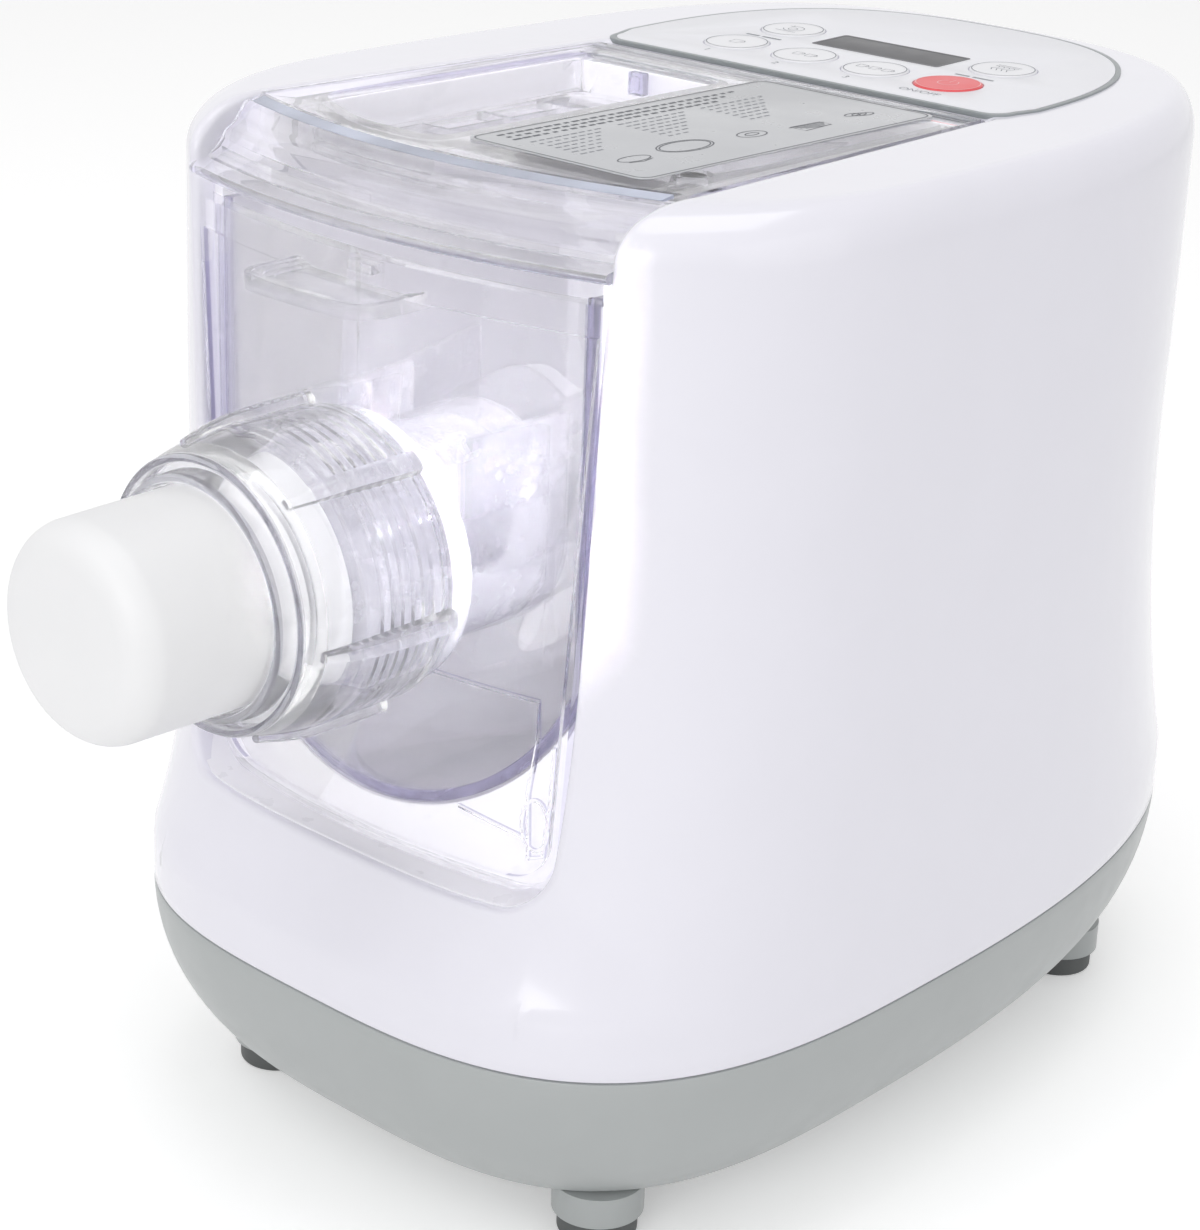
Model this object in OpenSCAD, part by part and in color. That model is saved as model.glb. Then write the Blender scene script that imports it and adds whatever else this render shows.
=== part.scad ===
// Electric pasta maker: white body, grey base, clear mixing chamber, lid, barrel and nut.
// Millimetres. +X is right seen from the front, the nozzle points to -Y, +Z is up.
// The origin is on the floor, under the middle of the whole length and width.

/* [Body] */
// Full width of the body between seam and waist
body_w = 206; // [196:1:226]
// Full width of the body at the deck
top_w = 199.4; // [192:0.2:206]
// Forward reach of the body at the seam
front_reach = 116; // [112:1:126]
// Backward reach of the body at the seam
rear_reach = 183; // [176:1:200]
// Forward reach of the body at the waist
waist_front = 99; // [98:0.5:102]
// Backward reach of the body at the waist
waist_rear = 151; // [148:1:160]
// Forward reach of the body at the deck
top_front = 100.5; // [99:0.5:104]
// Backward reach of the body at the deck
top_rear = 153; // [150:1:162]
// Height of the seam between the base and the body
seam_z = 58.5; // [52:0.5:62]
// Height where the body starts to narrow
flare_z = 72; // [66:1:80]
// Height of the waist
waist_z = 195; // [170:1:210]
// Height of the deck at the lid
top_z = 260; // [258:0.5:266]
// Rise of the deck behind the lid, in degrees
deck_tilt = 1.5; // [0.5:0.1:2]
// Wall of the body and the base
wall = 2.6; // [2:0.1:3.2]
// Rounding of the deck edge, across
edge_across = 7; // [5:0.5:10]
// Rounding of the deck edge at the front, across
edge_front = 19; // [14:1:22]
// Rounding of the deck edge, down
edge_down = 12; // [8:1:16]

/* [Base] */
// Height of the flat underside of the base
base_z = 7; // [6:0.5:10]
// How far the underside is set in from the seam
base_inset = 45; // [38:1:48]
// Diameter of a foot
foot_d = 20; // [16:1:24]
// Distance between left and right feet
foot_span_x = 117.4; // [100:0.2:122]
// Front feet, distance ahead of the middle
foot_front = 71.7; // [60:0.1:76]
// Rear feet, distance behind the middle
foot_rear = 127; // [110:1:134]

/* [Mixing chamber] */
// Half width of the chamber, outside
chamber_hw = 61; // [58:0.5:61.5]
// Height of the lowest point of the chamber, outside
chamber_bottom = 106; // [104:0.1:110]
// Radius of the rounded bottom of the chamber
chamber_r = 66; // [64:0.5:76]
// Height of the chamber rim
chamber_top = 238.6; // [236:0.1:240]
// Wall of the chamber
chamber_wall = 2.2; // [1.8:0.1:3]
// Rear face of the chamber
chamber_rear = 37; // [34:0.5:40]
// Gap between the chamber and the bay
bay_gap = 0.8; // [0.6:0.1:1.2]

/* [Front plate and lid] */
// Radius of the bow of the front plate and the lid lip, seen from above
bow_r = 225; // [220:1:232]
// Forward reach of the front plate at the middle
plate_reach = 97; // [96:0.5:98]
// Thickness of the front plate
plate_t = 3; // [2.5:0.1:3.4]
// Half width of the front plate at its top
plate_top_hw = 66.5; // [65.5:0.1:67]
// Half width of the front plate at its bottom
plate_low_hw = 58.7; // [57:0.1:60]
// Height of the bottom edge of the front plate
plate_low = 96; // [95.5:0.1:98]
// Thickness of the lid
lid_t = 2.6; // [2.2:0.1:2.8]
// Half width of the lid where its front starts to roll down
lid_front_hw = 69; // [68.5:0.1:70]
// Half width of the lid at its hinge
lid_rear_hw = 62.6; // [62.5:0.1:64]
// Half width of the lip of the lid
lip_hw = 67.3; // [66.5:0.1:68]
// Rear edge of the lid
lid_rear = 52; // [50:0.5:53]
// Depth of the feed gutter in the lid
gutter_depth = 12; // [10:0.5:16]

/* [Nozzle] */
// Height of the auger axis
axis_z = 168.7; // [168:0.1:170]
// Bore of the extrusion barrel
barrel_bore = 50.4; // [46:0.2:52]
// Outer diameter of the barrel behind the plate
barrel_d = 55; // [54:0.5:56]
// Diameter of the threaded collar in front of the plate
collar_d = 59.6; // [58:0.2:60]
// Length of the threaded collar
collar_len = 30; // [26:1:32]
// Pitch of the nut thread
thread_pitch = 5; // [4:0.5:6]
// Outer diameter of the nut
nut_d = 71; // [69:0.5:74]
// Height of the ridges of the nut
ridge_h = 2.9; // [1.5:0.1:3.5]
// Diameter of the cap where it leaves the nut
cap_d = 57; // [54:0.5:57.2]
// Diameter of the cap at its nose
cap_nose_d = 50; // [44:0.5:52]
// Reach of the nose of the cap ahead of the middle
cap_reach = 183; // [176:1:190]
// Number of holes in the die
die_holes = 18; // [12:1:20]
// Diameter of a hole in the die
die_hole_d = 3; // [2:0.1:4]

/* [Controls] */
// Diameter of a button
button_d = 17.5; // [15:0.5:18]
// Distance between the buttons of the front row
button_pitch = 23.3; // [21:0.1:24]
// Front row of buttons behind the middle
row_one_y = 73; // [71:0.5:75]
// Rear row of buttons behind the middle
row_two_y = 97; // [94:0.5:100]
// Travel of a button
button_travel = 0.6; // [0.4:0.1:0.7]
// Width of the display window
display_w = 41; // [36:0.5:44]
// Depth of the display window
display_d = 14.5; // [12:0.5:16]
// Thickness of the control panel
panel_t = 1.4; // [1:0.1:1.8]

/* [Drive] */
// Radius of the drive shaft
shaft_r = 5; // [4.5:0.1:5.5]
// Module of the slow gear pair
slow_mod = 1.25; // [1.2:0.01:1.3]
// Module of the fast gear pair
fast_mod = 1; // [0.95:0.01:1.05]
// Face width of the slow gears
slow_face = 10; // [8:0.5:11]
// Face width of the fast gears
fast_face = 6; // [5:0.5:8]
// Thickness of the gearbox plates
gear_plate_t = 6; // [5:0.5:7]
// Diameter of the motor
motor_d = 68; // [60:1:72]
// Length of the motor
motor_len = 70; // [60:1:72]

/* [Hidden] */

white = [0.93, 0.92, 0.96];
grey = [0.7, 0.715, 0.715];
clear = [0.86, 0.85, 0.95, 0.35];
steel = [0.75, 0.76, 0.78];
board_green = [0.1, 0.35, 0.2];

around = 60;              // points around the body outline
front_power = 3.1;        // squareness of the outline ahead of the middle
rear_power_low = 2.5;     // squareness of the outline behind the middle, at the flare
rear_power_top = 2.96;    // the same at the deck
bow_y = bow_r - plate_reach;
fit = 0.3;                // gap between neighbouring pieces that move apart
eps = 0.01;

// Lid hinge: a round barrel along the rear edge of the lid.
hinge_r = 3.7;
pin_r = 1.5;
pin_gap = 0.06;
hinge_y = lid_rear - hinge_r;
hinge_z = top_z - hinge_r;
lid_gap = 0.7;            // gap round the lid in the deck
lid_top = top_z;
lid_low = lid_top - lid_t;
flat_r = bow_r - 17.5;    // where the flat of the lid ends and its front rolls down
lip_r = bow_r + 3.5;      // outer edge of the lid lip
lip_z = lid_top - 14;     // top of the lid lip
skirt_t = 2.2;
skirt_h = 9;

// Bay for the chamber.
bay_hw = chamber_hw + bay_gap;
bay_rear = chamber_rear + bay_gap + 1;
bay_wall = 2.4;
plate_gap = 0.7;
recess_flare = 2.4;       // extra gap beside the plate at its bottom
front_wall = 3;           // wall of the body behind the edge of the plate

// Nozzle, measured along Y from the front face of the plate.
plate_front = -plate_reach;
plate_back = plate_front + plate_t;
barrel_rear = -56;
collar_r = collar_d / 2;
thread_h = 0.8;
flange_t = 2;
collar_start = plate_front - flange_t;
collar_end = collar_start - collar_len;
nut_bore_r = collar_r + thread_h + 0.6;
die_r = nut_bore_r - 0.5;
die_t = 7;
die_back = collar_end - fit;
die_front = die_back - die_t;
nut_rear = collar_start - 2.4;
nut_lip = die_front - fit;
nut_lip_t = 4;
nut_front = nut_lip - nut_lip_t - 4.5;
nut_r = nut_d / 2;
nut_open_r = cap_d / 2 + fit + 0.1;
nut_ring_r = nut_open_r + 4;
shoulder_len = 14;
ridge_count = 6;
ridge_w = 5.4;
ridge_turn = 40;           // angle of the first ridge from the top
cap_wall = 2.4;
cap_back = nut_lip - 1;

// Auger, paddle and drive line, along Y.
flight_r = barrel_bore / 2 - 0.6;
core_r = 9;
flight_turns = 2.5;
auger_front = collar_end + 2;
auger_rear = barrel_rear - 2;
hub_r = 11;
hub_front = -48;
hub_rear = 30;
socket_depth = 14;
hex_r = shaft_r + 0.9;
paddle_reach = 52;
paddle_t = 6;
paddle_start = hub_front + 4;
blade_count = 5;
blade_w = 26;
blade_round = 9;
blade_root = 7;            // how far an arm narrows at the hub
blade_turn = 270;          // angle of the first blade from the top
bearing_t = 5;
bearing_r = shaft_r + 4.5;
gear_front = bay_rear + bay_wall + 2;
slow_y = gear_front + gear_plate_t + 0.6;
fast_y = slow_y + slow_face + 1;
gear_back = fast_y + fast_face + 1.4;
motor_front = gear_back + gear_plate_t;

// Gears: teeth and the axes that they set.
output_teeth = 64;
slow_pinion_teeth = 14;
wheel_teeth = 48;
fast_pinion_teeth = 12;
pressure = 20;
backlash = 0.22;
compound_z = axis_z - slow_mod * (output_teeth + slow_pinion_teeth) / 2;
motor_z = compound_z - fast_mod * (wheel_teeth + fast_pinion_teeth) / 2;
pin_shaft_r = 3;
motor_shaft_r = 3;
motor_screw_r = 12;        // radius of the circle of motor screws
post_r = 5;
web_hole_r = 8;            // holes that lighten the output gear
web_circle_r = 23;
run_gap = 0.05;           // radial clearance of a shaft in its hole
gearbox_hw = 46;
gearbox_top = axis_z + 44;
gearbox_bottom = motor_z - 12;
post_x = gearbox_hw - 7;

// Controls, measured on the tilted deck: z = 0 is the deck surface.
panel_sink = 0.8;
panel_top = panel_t - panel_sink;
panel_front = 1.2;        // gap between the lid recess and the panel
panel_hw = 66.5;
panel_mid = 66;
panel_apex = top_rear - 11;
border_w = 1.3;
cap_gap = 0.35;
cap_low = -1.6;
cap_high = panel_top + 0.35;
stem_r = 2.5;
stem_low = -6.2;
bed_t = 2.4;
board_top = -9.6;
board_t = 1.6;
switch_top = stem_low - button_travel - 0.2;
key_x = [-1.5 * button_pitch, -0.5 * button_pitch, 0.5 * button_pitch, 1.5 * button_pitch];
display_y = 94.8;

// Electronics under the bay.
pcb_low = base_z + wall + 9;
pcb_t = 1.6;
pcb_hw = 38;
pcb_front = -58;
pcb_rear = 18;
gland_z = 34;
gland_r = 5;
screw_head_r = 4;
screw_r = 2;
base_screw_xy = [[70, -48], [-70, -48], [70, 96], [-70, 96]];
boss_r = 5.5;
board_screw_xy = [for (x = [-1, 1], y = [pcb_front + 5, pcb_rear - 5]) [x * (pcb_hw - 5), y]];

// ---------- helpers ----------

function mix(a, b, u) = a + (b - a) * u;
function signed_pow(v, p) = sign(v) * pow(abs(v), p);
deck_slope = tan(deck_tilt);
lift_start = 150;         // height where the rise of the deck begins to shape the rear wall
function deck_lift(y, z) =
    max(0, y - lid_rear - lid_gap) * deck_slope * min(1, max(0, (z - lift_start) / (top_z - lift_start)));

// Point i of the closed outline at height z, which starts at the rear and is symmetric in X.
function rear_power(z) =
    mix(rear_power_low, rear_power_top, min(1, max(0, (z - flare_z) / (top_z - flare_z))));
function outline_point(i, z, hw, front, rear) =
    let (t = 90 + 360 * i / around, p = sin(t) >= 0 ? rear_power(z) : front_power)
    [hw * signed_pow(cos(t), 2 / p), (sin(t) >= 0 ? rear : front) * signed_pow(sin(t), 2 / p)];

function lofted(levels) = [for (l = levels) for (i = [0 : around - 1])
    let (p = outline_point(i, l[0], l[1], l[2], l[3])) [p[0], p[1], l[0] + deck_lift(p[1], l[0])]];

// Skin between rings, with strip caps that join mirrored points.
module loft(levels) {
    n = around;
    h = n / 2;
    last = (len(levels) - 1) * n;
    sides = [for (k = [0 : len(levels) - 2]) for (i = [0 : n - 1])
        let (a = k * n + i, b = k * n + (i + 1) % n) each [[a, a + n, b], [b, a + n, b + n]]];
    low = [for (i = [1 : h - 2]) each [[i, i + 1, n - i], [i + 1, n - i - 1, n - i]]];
    low_ends = [[0, 1, n - 1], [h, h + 1, h - 1]];
    high = [for (f = concat(low, low_ends)) [last + f[2], last + f[1], last + f[0]]];
    polyhedron(lofted(levels), concat(sides, low, low_ends, high), convexity = 8);
}

// Outline of the body at height z: half width, front and rear reach.
function neck(z) = min(1, max(0, (waist_z - z) / (waist_z - flare_z)));
function crown(z) = max(0, (z - waist_z) / (top_z - waist_z));
function body_level(z, inset, across, front) = [z,
    mix(body_w / 2, top_w / 2, crown(z)) - inset - across,
    mix(waist_front, top_front, crown(z)) + (front_reach - waist_front) * pow(neck(z), 4) - inset - front,
    mix(waist_rear, top_rear, crown(z)) + (rear_reach - waist_rear) * pow(neck(z), 2) - inset - across];

low_steps = 6;
edge_steps = 4;
function body_levels(inset, bottom) = concat(
    [body_level(bottom, inset, 0, 0)],
    [for (i = [0 : low_steps]) body_level(mix(flare_z, waist_z, i / low_steps), inset, 0, 0)],
    [for (i = [0 : edge_steps]) let (a = 90 * i / edge_steps, c = 1 - cos(a))
        body_level(top_z - edge_down + (edge_down - inset) * sin(a), inset, edge_across * c, edge_front * c)]);

base_steps = 7;
function base_levels(inset) = [for (i = [0 : base_steps])
    let (a = 90 * i / base_steps, low = base_z + inset, r = base_inset * (1 - sin(a)) + inset,
        rise = seam_z - low + (inset > 0 ? 1 : 0))
    [low + rise * (1 - cos(a)), body_w / 2 - r, front_reach - r, rear_reach - r]];

// Polygon with each corner rounded over the length r.
function rounded(pts, r, n = 5) = [for (i = [0 : len(pts) - 1])
    let (c = pts[i], a = pts[(i + len(pts) - 1) % len(pts)] - c, b = pts[(i + 1) % len(pts)] - c,
        s = c + a / norm(a) * r, e = c + b / norm(b) * r)
    for (k = [0 : n]) let (u = k / n) s * (1 - u) * (1 - u) + c * 2 * u * (1 - u) + e * u * u];

// Cylinder along Y, from y0 to y1, at height z.
module bar_y(r, y0, y1, z = axis_z, x = 0) {
    translate([x, y1, z]) rotate([90, 0, 0]) cylinder(r = r, h = y1 - y0, $fn = 64);
}

// Outline [x, z] drawn as a slab from y0 to y1.
module slab_y(y0, y1) {
    translate([0, y1, 0]) rotate([90, 0, 0]) linear_extrude(y1 - y0) children();
}

// Pieces drawn on the deck: x and y as on the floor, z = 0 on the tilted surface.
deck_start = lid_rear + lid_gap;
module on_deck() {
    translate([0, deck_start, top_z]) rotate([deck_tilt, 0, 0]) translate([0, -deck_start, 0]) children();
}

// Tube swept along a path of points.
function unit(v) = v / norm(v);
module swept_tube(path, r, sides = 8) {
    last = len(path) - 1;
    rings = [for (i = [0 : last]) let (t = unit(path[min(last, i + 1)] - path[max(0, i - 1)]),
        up = abs(t[2]) > 0.9 ? [1, 0, 0] : [0, 0, 1], u = unit(cross(up, t)), v = cross(t, u))
        for (k = [0 : sides - 1]) path[i] + r * (cos(360 * k / sides) * u + sin(360 * k / sides) * v)];
    walls = [for (i = [0 : last - 1]) for (k = [0 : sides - 1])
        let (a = i * sides + k, b = i * sides + (k + 1) % sides)
            each [[a, a + sides, b], [b, a + sides, b + sides]]];
    start = [[for (k = [0 : sides - 1]) k]];
    finish = [[for (k = [sides - 1 : -1 : 0]) last * sides + k]];
    polyhedron(rings, concat(walls, start, finish), convexity = 6);
}

// Smooth curve through hand-chosen points.
function curve_at(p, i, u) =
    let (n = len(p) - 1, a = p[max(0, i - 1)], b = p[i], c = p[i + 1], d = p[min(n, i + 2)])
    0.5 * (2 * b + (c - a) * u + (2 * a - 5 * b + 4 * c - d) * u * u + (3 * b - a - 3 * c + d) * u * u * u);
function curve(p, steps) = concat(
    [for (i = [0 : len(p) - 2]) for (k = [0 : steps - 1]) curve_at(p, i, k / steps)], [p[len(p) - 1]]);

// Involute spur gear drawn in the XY plane, with tooth 0 centred on +X.
function involute(rb, r) = let (a = sqrt(max(0, r * r / (rb * rb) - 1))) a * 180 / PI - atan(a);
function tooth_half(m, teeth, r) = let (rp = m * teeth / 2, rb = rp * cos(pressure))
    (PI * m / 2 - backlash) / 2 / rp * 180 / PI + involute(rb, rp) - involute(rb, max(r, rb));
function flank_point(m, teeth, r, t, side) =
    let (a = 360 * t / teeth + side * tooth_half(m, teeth, r)) r * [cos(a), sin(a)];
module gear_outline(m, teeth) {
    rp = m * teeth / 2;
    tip = rp + 0.8 * m;
    root = rp - 1.15 * m;
    radii = [root, mix(root, tip, 0.35), mix(root, tip, 0.6), mix(root, tip, 0.8), tip];
    polygon([for (t = [0 : teeth - 1]) each concat(
        [for (k = [0 : 4]) flank_point(m, teeth, radii[k], t, -1)],
        [for (k = [4 : -1 : 0]) flank_point(m, teeth, radii[k], t, 1)])]);
}

// Gear on an axis along Y; turn sets the angle of tooth 0 from +X towards +Z.
module gear(m, teeth, y0, y1, z, turn) {
    translate([0, y1, z]) rotate([90, 0, 0]) rotate(turn) linear_extrude(y1 - y0) gear_outline(m, teeth);
}

// ---------- body ----------

// Front plate outline [x, z] grown by g, and by more at its bottom.
module plate_outline(g, low_more = 0) {
    low = plate_low - g;
    high = chamber_top + g;
    low_hw = plate_low_hw + g + low_more;
    polygon(concat([[plate_top_hw + g, high], [-plate_top_hw - g, high]],
        corner([-low_hw, low], [-1, 0], [0, -1]), corner([low_hw, low], [0, -1], [1, 0])));
}

// Recess of the plate in the body, open towards the lid.
module recess_outline(g) {
    plate_outline(plate_gap + g, recess_flare);
    hw = plate_top_hw + plate_gap + g;
    translate([-hw, chamber_top - 1]) square([2 * hw, lip_z - chamber_top]);
}

// Rounded lower corner of the plate, from the side to the bottom or back.
corner_r = 13;
function corner(c, first, second) = let (sx = sign(c[0]), o = c + [-sx * corner_r, corner_r])
    [for (k = [0 : 6]) let (a = 90 * k / 6) o + corner_r * (cos(a) * first + sin(a) * second)];

// Lid outline seen from above, grown by g.
module lid_plan(g) {
    right = [[lip_hw + g, -bow_r], [lip_hw + g, -roll_end], [lid_front_hw + g, -roll_start],
        [lid_rear_hw + g, lid_rear + g]];
    polygon(concat(right, [for (k = [3 : -1 : 0]) [-right[k][0], right[k][1]]]));
}
roll_start = 66;          // where the sides of the lid start to close in towards the lip
roll_end = 84;

// Round disc about the centre of the bow.
module bow_disc(r, z0, z1) {
    translate([0, bow_y, z0]) cylinder(r = r, h = z1 - z0, $fn = 180);
}

module bay_space() {
    slab_y(-bow_r, bay_rear) trough(-bay_gap);
    difference() {
        slab_y(-bow_r, 0) recess_outline(0);
        bow_disc(recess_r, 0, top_z);
    }
}

// What is left solid round the bay: its walls, and the wall behind the edge of the plate.
module bay_walls() {
    slab_y(-bow_r, bay_rear + bay_wall) trough(-bay_gap - bay_wall);
    difference() {
        slab_y(-bow_r, 0) recess_outline(front_wall);
        bow_disc(recess_r - front_wall, 0, top_z);
    }
}
recess_r = bow_r - plate_t - 0.5;

module lid_space() {
    translate([0, 0, lid_low - 0.6]) linear_extrude(20) lid_plan(lid_gap);
    difference() {
        translate([0, 0, lip_z - 3.4]) linear_extrude(40) lid_plan(lid_gap);
        bow_disc(flat_r - 3, 0, 2 * top_z);
    }
    translate([-lid_rear_hw - lid_gap, hinge_y, hinge_z]) rotate([0, 90, 0])
        cylinder(r = hinge_r + 0.5, h = 2 * (lid_rear_hw + lid_gap), $fn = 48);
}

module panel_outline(g) {
    front = deck_start + panel_front - g;
    p = 2.6;
    steps = 22;
    depth = panel_apex - panel_mid + g;
    arc = [for (i = [0 : steps]) let (t = 180 * i / steps)
        [(panel_hw + g) * signed_pow(cos(t), 2 / p), panel_mid + depth * pow(sin(t), 2 / p)]];
    hw = panel_hw - 2 + g;
    polygon(concat(
        [for (k = [0 : 5]) let (a = 90 * k / 5) [-hw + 6 * (1 - cos(a)), front + 6 * (1 - sin(a))]],
        [for (k = [5 : -1 : 0]) let (a = 90 * k / 5) [hw - 6 * (1 - cos(a)), front + 6 * (1 - sin(a))]],
        arc));
}

module body_shell() color(white) difference() {
    loft(body_levels(0, seam_z));
    difference() {
        loft(body_levels(wall, seam_z - 1));
        // walls of the bay, rim under the lid, bed of the controls and screw bosses
        bay_walls();
        translate([-lid_front_hw - 4, -bow_r, lid_low - 6])
            cube([2 * lid_front_hw + 8, bow_r + lid_rear + 4, 20]);
        on_deck() translate([-panel_hw + 6, deck_start, -wall - bed_t])
            cube([2 * panel_hw - 12, row_two_y + 14 - deck_start, bed_t + 1]);
        for (p = base_screw_xy) translate([p[0], p[1], 0]) screw_boss(sign(p[0]));
    }
    bay_space();
    lid_space();
    translate([-lid_rear_hw - 6, hinge_y, hinge_z]) rotate([0, 90, 0])
        cylinder(r = pin_r, h = 2 * lid_rear_hw + 12, $fn = 32);
    on_deck() {
        translate([0, 0, -panel_sink]) linear_extrude(10) panel_outline(border_w);
        for (b = [0 : 5]) {
            translate([button_x(b), button_y(b), cap_low - button_travel - 0.2])
                cylinder(d = button_d + 2 * cap_gap, h = 10, $fn = 48);
            translate([button_x(b), button_y(b), -12]) cylinder(r = stem_r + 0.6, h = 14, $fn = 32);
        }
        translate([-display_w / 2, display_y - display_d / 2, -12]) cube([display_w, display_d, 20]);
    }
    bar_y(bearing_r, bay_rear - 5, bay_rear + 8);
    for (p = base_screw_xy) translate([p[0], p[1], seam_z - 1]) cylinder(r = screw_r, h = 20, $fn = 32);
}

// Boss for a base screw, joined to the side wall by a rib.
module screw_boss(side) {
    cylinder(r = boss_r, h = seam_z + 24, $fn = 40);
    translate([side > 0 ? 0 : -body_w, -1.2, 0]) cube([body_w, 2.4, seam_z + 26]);
}

foot_xy = [[-foot_span_x / 2, -foot_front], [foot_span_x / 2, -foot_front], [-foot_span_x / 2, foot_rear],
    [foot_span_x / 2, foot_rear]];
foot_pin_r = 3.5;
foot_pin_len = 7;
foot_seat = base_z - 0.6;

module base_shell() color(grey) difference() {
    union() {
        difference() {
            loft(base_levels(0));
            difference() {
                loft(base_levels(wall));
                for (p = base_screw_xy) translate([p[0], p[1], 0]) cylinder(r = boss_r, h = seam_z, $fn = 40);
                for (p = board_screw_xy) translate([p[0], p[1], 0]) cylinder(r = 3, h = pcb_low, $fn = 32);
            }
        }
        for (p = foot_xy) translate([p[0], p[1], foot_seat])
            cylinder(d = foot_d + 3, h = foot_pin_len + 4, $fn = 48);
        bar_y(gland_r + 3.5, gland_inner, gland_outer, gland_z);
    }
    for (p = foot_xy) translate([p[0], p[1], 0])
        cylinder(r = foot_pin_r, h = foot_seat + foot_pin_len + fit, $fn = 32);
    for (p = base_screw_xy) translate([p[0], p[1], 0]) {
        cylinder(r = screw_r + 0.3, h = seam_z + 1, $fn = 32);
        cylinder(r = screw_head_r + 0.6, h = screw_seat, $fn = 32);
    }
    for (i = [-4 : 4]) translate([i * 9 - 1.5, 60, 0]) cube([3, 46, base_z + wall + 1]);
    bar_y(gland_r, gland_inner - 20, rear_reach + 20, gland_z);
}

screw_seat = base_z + 22;
gland_outer = rear_reach - 3;
gland_inner = rear_reach - 16;

module foot(i) color([0.8, 0.81, 0.81]) translate([foot_xy[i][0], foot_xy[i][1], 0]) {
    cylinder(d = foot_d, h = foot_seat, $fn = 64);
    cylinder(r = foot_pin_r, h = foot_seat + foot_pin_len, $fn = 32);
}

module base_screws() color(steel) for (p = base_screw_xy) translate([p[0], p[1], screw_seat]) {
    translate([0, 0, -3]) difference() {
        cylinder(r = screw_head_r, h = 3, $fn = 40);
        for (a = [0, 90]) rotate(a) translate([-2.2, -0.5, -1]) cube([4.4, 1, 2.4]);
    }
    translate([0, 0, -eps]) cylinder(r = screw_r, h = seam_z - screw_seat + 14, $fn = 32);
}

// ---------- controls ----------

function button_x(b) = b < 4 ? key_x[b] : (b == 4 ? key_x[0] : key_x[3]);
function button_y(b) = b < 4 ? row_one_y : row_two_y;

module control_panel() color(white) on_deck() difference() {
    translate([0, 0, -panel_sink]) linear_extrude(panel_t) panel_outline(0);
    for (b = [0 : 5]) translate([button_x(b), button_y(b), -5])
        cylinder(d = button_d + 2 * cap_gap, h = 10, $fn = 48);
    translate([-display_w / 2, display_y - display_d / 2, -5]) cube([display_w, display_d, 10]);
}

module panel_border() color([0.6, 0.62, 0.62]) on_deck() translate([0, 0, -panel_sink])
    linear_extrude(panel_t - 0.1) difference() {
        panel_outline(border_w);
        panel_outline(0);
    }

module display_window() color([0.3, 0.3, 0.32]) on_deck()
    translate([-display_w / 2, display_y - display_d / 2, panel_top - 1.6]) cube([display_w, display_d, 1.6]);

module display_module() color([0.12, 0.12, 0.13]) on_deck() {
    translate([-display_w / 2 + 0.5, display_y - display_d / 2 + 0.5, board_top])
        cube([display_w - 1, display_d - 1, panel_top - 1.6 - board_top]);
}

board_hw = 2 * button_pitch - 0.6;
board_edge = 12;
module control_board() color(board_green) on_deck() difference() {
    translate([-board_hw, row_one_y - board_edge, board_top - board_t])
        cube([2 * board_hw, row_two_y - row_one_y + 2 * board_edge, board_t]);
    for (x = [-board_hw + 4, board_hw - 4], y = [row_one_y - board_edge + 4, row_two_y + board_edge - 4])
        translate([x, y, board_top - 4]) cylinder(r = 1.6, h = 6, $fn = 24);
}

module key_switches() color([0.15, 0.15, 0.16]) on_deck() for (b = [0 : 5])
    translate([button_x(b), button_y(b), board_top]) {
        translate([-3, -3, 0]) cube([6, 6, switch_top - board_top - 0.8]);
        cylinder(r = 1.7, h = switch_top - board_top, $fn = 32);
    }

module button(b, tone) color(tone) on_deck() translate([button_x(b), button_y(b), 0]) {
    translate([0, 0, cap_low]) cylinder(d = button_d, h = cap_high - cap_low - 0.3, $fn = 64);
    translate([0, 0, cap_high - 0.3 - eps]) cylinder(d1 = button_d, d2 = button_d - 0.6, h = 0.3, $fn = 64);
    translate([0, 0, stem_low]) cylinder(r = stem_r, h = cap_low - stem_low + eps, $fn = 32);
}

// ---------- lid ----------

// Profile of the rolled front of the lid, as [radius, height] from flat to lip.
function roll_outer() = concat(
    [for (k = [0 : 4]) let (a = 70 * k / 4) [flat_r + 10.5 * sin(a), lid_top - 10.5 * (1 - cos(a))]],
    [for (k = [0 : 4]) let (u = k / 4)
        [mix(flat_r + 12, lip_r, u), mix(lid_top - 10, lip_z, 1 - (1 - u) * (1 - u))]]);
function roll_inner() = [for (p = roll_outer()) p + [-lid_t * 0.6, -lid_t * 0.9]];

gutter_pts = [[-60.5, -58], [-32, -71], [-4, -71], [-4, 38], [-58.5, 38]];
gutter_low = lid_top - gutter_depth;
gutter_t = 2;
drip_x = -53;               // left edge of the drip windows
drip_start = -27;           // front edge of the first one
drip_w = 9.5;
drip_len = 19.5;
drip_pitch = 22;

module gutter_outline() {
    polygon(rounded(gutter_pts, 9));
}

module gutter_inner() {
    polygon(rounded([for (p = gutter_pts) [mix(p[0], -33, 0.07), mix(p[1], -12, 0.045)]], 6));
}

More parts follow.
